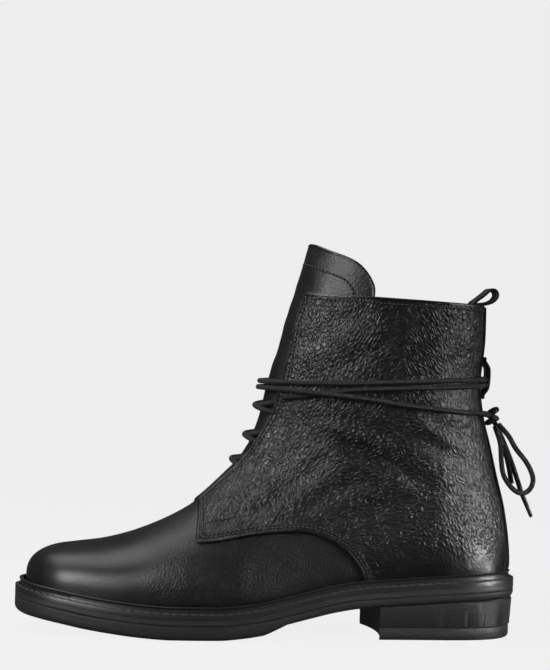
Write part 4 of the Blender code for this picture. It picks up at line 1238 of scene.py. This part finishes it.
Turn = namedtuple("Turn", "middle first second")
KNOT_TURNS = [               # closed turns of the cord: a middle and two half axes
    Turn((0.0006, 0.0000, 0.0027), (0.0020, 0.0006, 0.0013), (-0.0006, 0.0027, -0.0002)),
    Turn((0.0003, 0.0001, -0.0003), (0.0026, 0.0000, -0.0009), (0.0000, 0.0036, 0.0006)),
    Turn((-0.0005, 0.0000, -0.0029), (0.0021, 0.0004, 0.0008), (0.0003, 0.0027, -0.0006)),
]
KNOT_CORE = [(-0.0002, 0.0, -0.0034), (0.0003, 0.0003, 0.0), (-0.0002, 0.0, 0.0034)]


def make_knot(tree):
    place = knot_place(tree)
    pieces = []
    for k, turn in enumerate(KNOT_TURNS):
        middle, first, second = (Vector(part) for part in turn)
        path = [place + middle + first * math.cos(angle) + second * math.sin(angle)
                for angle in (2 * math.pi * step / TURN_STEPS for step in range(TURN_STEPS))]
        ring = tube(f"knot turn {k}", path, LACE / 2, CORD_SIDES, closed=True)
        mark_braid(ring, path)
        pieces.append(ring)
    core = smooth_path([place + Vector(step) for step in KNOT_CORE], LACE / 3)
    pieces.append(lace_cord_along("knot core", core))
    return joined("bow_knot", pieces)


# Materials

DRIFT, WEAR = 90.0, 60.0             # how finely the textures are grained, per metre
PEBBLES, PORES = 1100.0, 2600.0
SPECKS, FUZZ, TWIST = 1800.0, 3000.0, 5000.0
MOULD_LINES = (16.0, 16.0, 1900.0)   # long along the sole's edge, fine across it


def link(tree, kind, settings=None, **inputs):
    """Add a node, set it up and feed its sockets with values or other sockets."""
    made = tree.nodes.new(kind)
    for key, value in (settings or {}).items():
        setattr(made, key, value)
    for key, value in inputs.items():
        socket = made.inputs[int(key[1:])] if key[0] == "_" else made.inputs[key.replace("_", " ")]
        if isinstance(value, bpy.types.NodeSocket):
            tree.links.new(value, socket)
        else:
            socket.default_value = value
    return made


def bumps(tree, shader, *steps):
    """Bumps of these distances and heights, one over another, as the shader's normal."""
    normal = None
    for distance, height in steps:
        bump = link(tree, "ShaderNodeBump", Strength=1.0, Distance=distance, Height=height)
        if normal:
            tree.links.new(normal, bump.inputs["Normal"])
        normal = bump.outputs[0]
    tree.links.new(normal, shader.inputs["Normal"])


def painted(tree, shader, factor, dark, light):
    """A base colour that runs from dark to light with the factor."""
    paint = link(tree, "ShaderNodeMix", {"data_type": "RGBA"}, _0=factor, _6=(*dark, 1.0), _7=(*light, 1.0))
    tree.links.new(paint.outputs[2], shader.inputs["Base Color"])


def dimmed(colour, share):
    return [value * share for value in colour]


def new_material(name, colour, roughness, coat=0.0, coat_roughness=0.3, specular=0.5):
    material = bpy.data.materials.new(name)
    material.use_nodes = True
    tree = material.node_tree
    shader = tree.nodes["Principled BSDF"]
    shader.inputs["Base Color"].default_value = (*colour, 1.0)
    shader.inputs["Roughness"].default_value = roughness
    shader.inputs["Coat Weight"].default_value = coat
    shader.inputs["Coat Roughness"].default_value = coat_roughness
    shader.inputs["Specular IOR Level"].default_value = specular
    return material, tree, shader


def mixed(tree, factor, low, high, start=0.0, end=1.0):
    """A value that runs from low to high while the factor runs from start to end."""
    return link(tree, "ShaderNodeMapRange", _0=factor, _1=start, _2=end, _3=low, _4=high).outputs[0]


def maths(tree, operation, *values):
    """The result of a sum or the like of one or two values."""
    sockets = {f"_{k}": value for k, value in enumerate(values)}
    return link(tree, "ShaderNodeMath", {"operation": operation}, **sockets).outputs[0]


def product(tree, first, second):
    return maths(tree, "MULTIPLY", first, second)


def spots_of(tree):
    return link(tree, "ShaderNodeTexCoord").outputs["Object"]


def mark(tree, name, output="Fac"):
    """What the mesh keeps at each point under a name."""
    return link(tree, "ShaderNodeAttribute", {"attribute_name": name}).outputs[output]


def cloud(tree, spots, scale, detail, roughness=0.5, output="Fac"):
    return link(tree, "ShaderNodeTexNoise", Vector=spots, Scale=scale, Detail=detail,
                Roughness=roughness).outputs[output]


def blended(tree, factor, low, high):
    return link(tree, "ShaderNodeMix", {"data_type": "FLOAT"}, _0=factor, _2=low, _3=high).outputs[0]


STEEP, FLAT, FALLING = 58, 12, -52      # degrees by which the wrinkles rise towards the heel
STREAK = 2.2                            # a wrinkle cell's length over its width


def streaks(tree, spots, rise_angle, size, crack):
    """Wrinkle cells drawn out along one direction of the side view."""
    turned = link(tree, "ShaderNodeMapping", {"vector_type": "TEXTURE"}, Vector=spots,
                  Rotation=(0.0, -math.radians(rise_angle), 0.0), Scale=(size * STREAK, size, size))
    cells = link(tree, "ShaderNodeTexVoronoi", {"feature": "DISTANCE_TO_EDGE"}, Vector=turned.outputs[0],
                 Scale=1.0, Randomness=1.0)
    return link(tree, "ShaderNodeMapRange", {"interpolation_type": "SMOOTHSTEP"},
                _0=cells.outputs["Distance"], _1=0.0, _2=crack).outputs[0]


def leather(name, colour, roughness, net, net_size, fine=0.00008, wander=0.006, spread=0.05, dulled=0.06):
    """Black leather: a net of wrinkles by the mesh's grain marks, over fine pebbles and pores, with painted
    shade darkening the base colour in the wrinkles' cracks.
    """
    material, tree, shader = new_material(name, colour, roughness)
    spots = spots_of(tree)
    depth, lay = mark(tree, "grain_depth"), mark(tree, "grain_lay")
    drift = cloud(tree, spots, DRIFT, 3.0, 0.6, "Color")
    bent = link(tree, "ShaderNodeVectorMath", {"operation": "MULTIPLY_ADD"},
                _0=drift, _1=(wander, wander, wander), _2=spots).outputs[0]
    steep, flat, falling = (streaks(tree, bent, angle, net_size, crack)
                            for angle, crack in ((STEEP, 0.30), (FLAT, 0.42), (FALLING, 0.42)))
    first, second = mixed(tree, lay, 0.0, 1.0, 0.0, 0.5), mixed(tree, lay, 0.0, 1.0, 0.5, 1.0)
    cells = blended(tree, second, blended(tree, first, steep, flat), falling)
    crumple = cloud(tree, bent, 0.9 / net_size, 4.0, 0.7)
    pebbles = link(tree, "ShaderNodeTexVoronoi", {"feature": "SMOOTH_F1"}, Vector=bent, Scale=PEBBLES,
                   Smoothness=0.4)
    bumps(tree, shader, (net, product(tree, cells, depth)), (net * 1.3, product(tree, crumple, depth)),
          (fine, pebbles.outputs["Distance"]), (fine * 0.4, cloud(tree, spots, PORES, 2.0)))
    rough = mixed(tree, cloud(tree, spots, WEAR, 4.0), roughness - spread, roughness + spread, 0.3, 0.7)
    cracks = maths(tree, "SUBTRACT", 1.0, cells)
    dull = product(tree, product(tree, cracks, depth), dulled)
    tree.links.new(maths(tree, "ADD", rough, dull), shader.inputs["Roughness"])
    # painted shade: the base colour falls to a third of itself in the cracks between the wrinkle cells
    painted(tree, shader, cells, dimmed(colour, 0.35), colour)
    return material


def rubber(name, colour, roughness, line_depth):
    """Matte rubber with fine lines that run round the sole's edge."""
    material, tree, shader = new_material(name, colour, roughness)
    spots = spots_of(tree)
    place = link(tree, "ShaderNodeSeparateXYZ", Vector=spots)
    flat = link(tree, "ShaderNodeCombineXYZ", X=place.outputs[0], Y=place.outputs[1],
                Z=mark(tree, "above_ground_line"))
    drawn = link(tree, "ShaderNodeMapping", Vector=flat.outputs[0], Scale=MOULD_LINES).outputs[0]
    lines, specks = cloud(tree, drawn, 1.0, 3.0, 0.6), cloud(tree, spots, SPECKS, 2.0)
    bumps(tree, shader, (line_depth, lines), (0.00003, specks))
    painted(tree, shader, lines, dimmed(colour, 0.7), dimmed(colour, 1.3))
    tree.links.new(mixed(tree, specks, roughness - 0.08, roughness + 0.08), shader.inputs["Roughness"])
    return material


BRAID_STRANDS = 6            # strands that wind each way round the cord
BRAID_PITCH = 0.0052         # one strand's full turn


def mark_braid(obj, path):
    """Keep each point's place round and along the cord: cosine, sine and length so far."""
    finder = finder_of(path)
    lengths = lengths_so_far(path)
    marks = obj.data.attributes.new("braid", "FLOAT_VECTOR", "POINT")
    for vert in obj.data.vertices:
        k = finder.find(vert.co)[1]
        way = heading(path, k)
        out = vert.co - path[k]
        sideways = way.cross(Vector((0.3, 0.2, 0.93))).normalized()
        across = out.dot(sideways), out.dot(way.cross(sideways))
        reach = max(math.hypot(*across), 1e-6)
        marks.data[vert.index].vector = (across[0] / reach, across[1] / reach, lengths[k] + out.dot(way))


def cord_material(name, colour):
    """Waxed round cord: strands that wind both ways round it, over each other, with painted shade darkening
    the colour between the strands.
    """
    material, tree, shader = new_material(name, colour, 0.62, specular=0.35)
    shader.inputs["Sheen Weight"].default_value = 0.05
    place = link(tree, "ShaderNodeSeparateXYZ", Vector=mark(tree, "braid", "Vector"))
    turn = maths(tree, "ARCTAN2", place.outputs[1], place.outputs[0])
    around = product(tree, turn, BRAID_STRANDS / 2)
    along = product(tree, place.outputs[2], BRAID_STRANDS * math.pi / BRAID_PITCH)
    waves = [maths(tree, "SINE", maths(tree, way, around, along)) for way in ("ADD", "SUBTRACT")]
    weave = mixed(tree, product(tree, *waves), 0.0, 1.0, -1.0, 1.0)
    bumps(tree, shader, (0.00035, weave), (0.00008, cloud(tree, spots_of(tree), FUZZ, 2.0)))
    # painted shade: the colour falls to a third where the strands dip between each other
    painted(tree, shader, weave, dimmed(colour, 0.35), colour)
    return material


def thread_material(name, colour, roughness=0.45, specular=0.5):
    material, tree, shader = new_material(name, colour, roughness, specular=specular)
    bumps(tree, shader, (0.00005, cloud(tree, spots_of(tree), TWIST, 1.0)))
    return material


def finish(obj, material, slot, *nodes, smooth_angle=40):
    """Give a piece its finish and its body, and hide the CAD nodes that it stands for."""
    obj.data.materials.clear()
    obj.data.materials.append(material)
    for polygon in obj.data.polygons:
        polygon.material_index = 0
    only(obj)
    bpy.ops.object.shade_smooth_by_angle(angle=math.radians(smooth_angle))
    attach(obj, "root")
    if nodes:
        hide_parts(*nodes)
    return obj


# Camera, light and floor

CAMERA_PLACE = (-0.2374, -1.1920, 0.1650)
CAMERA_HEADING = (0.1219, 0.9925, 0.0)
CAMERA_ROLL = math.radians(1.72)
PHOTO_FOCAL, PHOTO_HEIGHT = 2145, 670
SENSOR = 36.0


def add_camera():
    data = bpy.data.cameras.new("photo camera")
    data.sensor_width = SENSOR
    data.lens = PHOTO_FOCAL * SENSOR / PHOTO_HEIGHT
    data.clip_start = 0.05
    camera = bpy.data.objects.new("photo camera", data)
    bpy.context.scene.collection.objects.link(camera)
    facing = Vector(CAMERA_HEADING).to_track_quat("-Z", "Y").to_matrix().to_4x4()
    camera.matrix_world = (Matrix.Translation(CAMERA_PLACE) @ facing @ Matrix.Rotation(CAMERA_ROLL, 4, "Z"))
    bpy.context.scene.camera = camera


AIM = (-0.09, 0.0, 0.09)
HEEL_AIM = (0.035, -0.02, 0.050)
Lamp = namedtuple("Lamp", "name place size_x size_y watts spread aim")
LAMPS = [Lamp(*row) for row in [
    ("top softbox", (-0.45, 0.10, 0.95), 0.70, 0.80, 5.0, 180, AIM),
    ("left softbox", (-0.85, -0.72, 0.55), 0.60, 0.50, 8.0, 180, AIM),
    ("left low softbox", (-1.00, -0.70, 0.35), 0.35, 0.50, 3.2, 180, AIM),
    ("right softbox", (0.92, -0.26, 0.38), 0.25, 0.50, 3.5, 180, AIM),
    ("gridded softbox", (0.70, -0.42, 0.16), 0.16, 0.16, 0.08, 16, HEEL_AIM),
]]


def add_lamps():
    for lamp in LAMPS:
        data = bpy.data.lights.new(lamp.name, "AREA")
        data.shape = "RECTANGLE"
        data.size, data.size_y = lamp.size_x, lamp.size_y
        data.energy = lamp.watts
        data.spread = math.radians(lamp.spread)
        obj = bpy.data.objects.new(lamp.name, data)
        obj.location = lamp.place
        obj.rotation_euler = (Vector(lamp.aim) - Vector(lamp.place)).to_track_quat("-Z", "Y").to_euler()
        bpy.context.scene.collection.objects.link(obj)


PALE = 0.855                 # brightness of the plain surroundings in the picture
FLOOR_GLOW = 0.842           # the floor's own part of it, the rest is lamp light
ROOM = 0.07                  # and of the dim room that the leather mirrors


def add_world():
    """Pale surroundings to look at, and a dim room to light and mirror."""
    world = bpy.data.worlds.new("studio")
    world.use_nodes = True
    tree = world.node_tree
    seen = link(tree, "ShaderNodeLightPath").outputs["Is Camera Ray"]
    strength = mixed(tree, seen, ROOM, PALE)
    background = tree.nodes["Background"]
    background.inputs["Color"].default_value = (1.0, 1.0, 1.0, 1.0)
    tree.links.new(strength, background.inputs["Strength"])
    bpy.context.scene.world = world
    bpy.context.scene.view_settings.view_transform = "Standard"


FLOOR_HALF, FLOOR_NEAR, FLOOR_FAR = 4.0, -2.6, 1.2
BACKDROP_BEND, BACKDROP_TOP, BEND_STEPS = 0.8, 3.2, 12


def add_floor():
    """A pale floor that curves up into a backdrop."""
    path = [(FLOOR_NEAR, 0.0), (FLOOR_FAR, 0.0)]
    for k in range(1, BEND_STEPS + 1):
        angle = math.pi / 2 * k / BEND_STEPS
        path.append((FLOOR_FAR + BACKDROP_BEND * math.sin(angle), BACKDROP_BEND * (1 - math.cos(angle))))
    path.append((FLOOR_FAR + BACKDROP_BEND, BACKDROP_TOP))
    verts = [(side, y, z) for side in (-FLOOR_HALF, FLOOR_HALF) for y, z in path]
    count = len(path)
    obj = from_data("floor", verts, [(k, k + 1, count + k + 1, count + k) for k in range(count - 1)])
    obj.data.shade_smooth()
    material, _, shader = new_material("pale floor", (0.03, 0.03, 0.03), 0.9, specular=0.1)
    shader.inputs["Emission Color"].default_value = (1.0, 1.0, 1.0, 1.0)
    shader.inputs["Emission Strength"].default_value = FLOOR_GLOW
    obj.data.materials.append(material)
    obj.visible_glossy = obj.visible_diffuse = False


BLACK = (0.0075, 0.0072, 0.0070)
DEEP_BLACK = (0.0050, 0.0050, 0.0050)


def main():
    add_camera()
    vamp_leather = leather("vamp leather", BLACK, 0.38, 0.00008, 0.0015, fine=0.00003)
    quarter_leather = leather("tumbled leather", BLACK, 0.31, 0.00032, 0.0020, fine=0.00003)
    tongue_leather = leather("tongue leather", BLACK, 0.39, 0.00012, 0.0014, fine=0.00005)
    strap_leather = leather("strap leather", DEEP_BLACK, 0.40, 0.00006, 0.0012)
    edge_leather = leather("folded edge leather", BLACK, 0.28, 0.00008, 0.0012)
    lining_leather = leather("lining leather", (0.020, 0.018, 0.017), 0.60, 0.00006, 0.0012)
    sole_rubber = rubber("sole rubber", (0.018, 0.018, 0.018), 0.52, 0.00018)
    welt_rubber = rubber("welt rubber", (0.012, 0.012, 0.012), 0.38, 0.00008)
    lace_cord = cord_material("lace cord", (0.010, 0.010, 0.010))
    thread = thread_material("black thread", (0.040, 0.040, 0.040), 0.55, 0.40)
    # near-black and matte: the painted shade of the stitch channels
    seam_shade_material = thread_material("painted seam shade", (0.001, 0.001, 0.001), 0.90, 0.1)
    film = thread_material("aglet film", (0.008, 0.008, 0.008))

    form = last_form("last", ROW_STEPS, RING)
    plain = last_form("plain last", ROW_STEPS // 2, RING // 2)
    outside = surface_tree(plain, OVERLAY)
    tongue_outside = surface_tree(plain, -WALL - GAP)

    laces = make_laces(outside)
    knot, aglet = make_knot(outside), make_aglet()
    crossings = make_crossings(tongue_outside)

    crease(form)
    skins = {outset: surface_tree(form, outset) for outset in (OVERLAY, -WALL - GAP)}
    vamp = make_vamp(form)
    lining = make_lining(plain)
    quarters = make_quarters(form)
    tongue = make_tongue(form)
    backstay = make_backstay(plain)
    sock = make_sock(plain)
    welt = make_welt(plain)
    outsole, midsole = make_outsole(), make_midsole()
    heel, lift = make_heel()
    keeper, pull = make_keeper(outside), make_pull_loop(outside)

    outer = skins[OVERLAY]
    quarter_tree = tree_of(quarters)
    quarter_rims = rim_lines(quarters, outer, lambda p: p.z > midsole_top(p.x) + WELT)
    foot_rims = rim_lines(quarters, outer, lambda p: midsole_top(p.x) + WELT < p.z < instep_z(0.60))
    folds = rolled_edges("quarter_folds", quarter_rims, outer, EDGE_ROLL, EDGE_ROLL * 0.6)
    seam_rows = seam_lines(quarter_rims, outer, quarter_tree, SEAM_IN)
    seam_rows += seam_lines(foot_rims, outer, quarter_tree, SECOND_SEAM_IN)
    seam_rows += bartack_rows(outer)
    seams = stitches("quarter_seams", seam_rows, STITCH_PITCH, THREAD)
    # black bands of painted shade under the quarters' stitches
    quarter_shade_bands = painted_shade_bands("quarter_seam_shade", seam_rows)
    tongue_skin = skins[-WALL - GAP]
    tongue_tree = tree_of(tongue)
    tongue_rims = rim_lines(tongue, tongue_skin, lambda p: p.z > SHAFT_HEIGHT - 0.03)
    tongue_fold = rolled_edges("tongue_fold", tongue_rims, tongue_skin, EDGE_ROLL, EDGE_ROLL * 0.7)
    tongue_rows = seam_lines(tongue_rims, tongue_skin, tongue_tree, TONGUE_SEAM_IN)
    tongue_seam = stitches("tongue_seam", tongue_rows, STITCH_PITCH, THREAD)
    # black bands of painted shade under the tongue's stitches
    tongue_seam_shade = painted_shade_bands("tongue_seam_shade", tongue_rows)
    welt_line = [Vector((p.x, p.y, midsole_top(p.x) + WELT - GROOVE * 0.1))
                 for p in sole_outline((WELT_WIDTH + RIB_OUT) / 2 - GROOVE / 2)]
    welt_line.append(welt_line[0])
    welt_seam = stitches("welt_seam", [[(p, Vector((0, 0, 1))) for p in welt_line]], WELT_PITCH, WELT_THREAD)

    mark_grain(vamp, vamp_grain)
    mark_grain(quarters, quarter_grain)
    for panel in (tongue, lining, backstay, keeper, pull, sock, folds, tongue_fold):
        mark_grain(panel, lambda point: (PLAIN_DEPTH, PLAIN_LAY))
    for piece, material, slot, *nodes in (
            (vamp, vamp_leather, "upper", "upper"), (lining, lining_leather, "upper", "upper"),
            (quarters, quarter_leather, "upper", "upper"), (folds, edge_leather, "upper"),
            (seams, thread, "upper"), (quarter_shade_bands, seam_shade_material, "upper"),
            (tongue, tongue_leather, "tongue", "tongue"), (tongue_fold, edge_leather, "tongue"),
            (tongue_seam, thread, "tongue"), (tongue_seam_shade, seam_shade_material, "tongue"),
            (backstay, strap_leather, "trim", "backstay"), (keeper, strap_leather, "trim", "lace_keeper"),
            (pull, strap_leather, "trim", "pull_loop"), (sock, lining_leather, "insole", "insole"),
            (welt, welt_rubber, "welt", "welt"), (welt_seam, thread, "welt"),
            (outsole, sole_rubber, "outsole", "outsole"), (midsole, sole_rubber, "midsole", "midsole"),
            (heel, sole_rubber, "heel", "heel"), (lift, sole_rubber, "heel", "heel_top_lift")):
        finish(piece, material, slot, *nodes)
    cords = [(piece, f"lace_crossing_{number}") for number, piece in enumerate(crossings, 1)]
    cords += [(obj, f"lace_{name}") for name, (obj, _) in laces.items()]
    for piece, node in cords + [(knot, "lace_knot")]:
        finish(piece, lace_cord, "lace", node, smooth_angle=60)
    finish(aglet, film, "aglet", "lace_aglet", smooth_angle=60)
    for obj in (form, plain):
        bpy.data.objects.remove(obj, do_unlink=True)
    add_lamps()
    add_world()
    add_floor()


main()
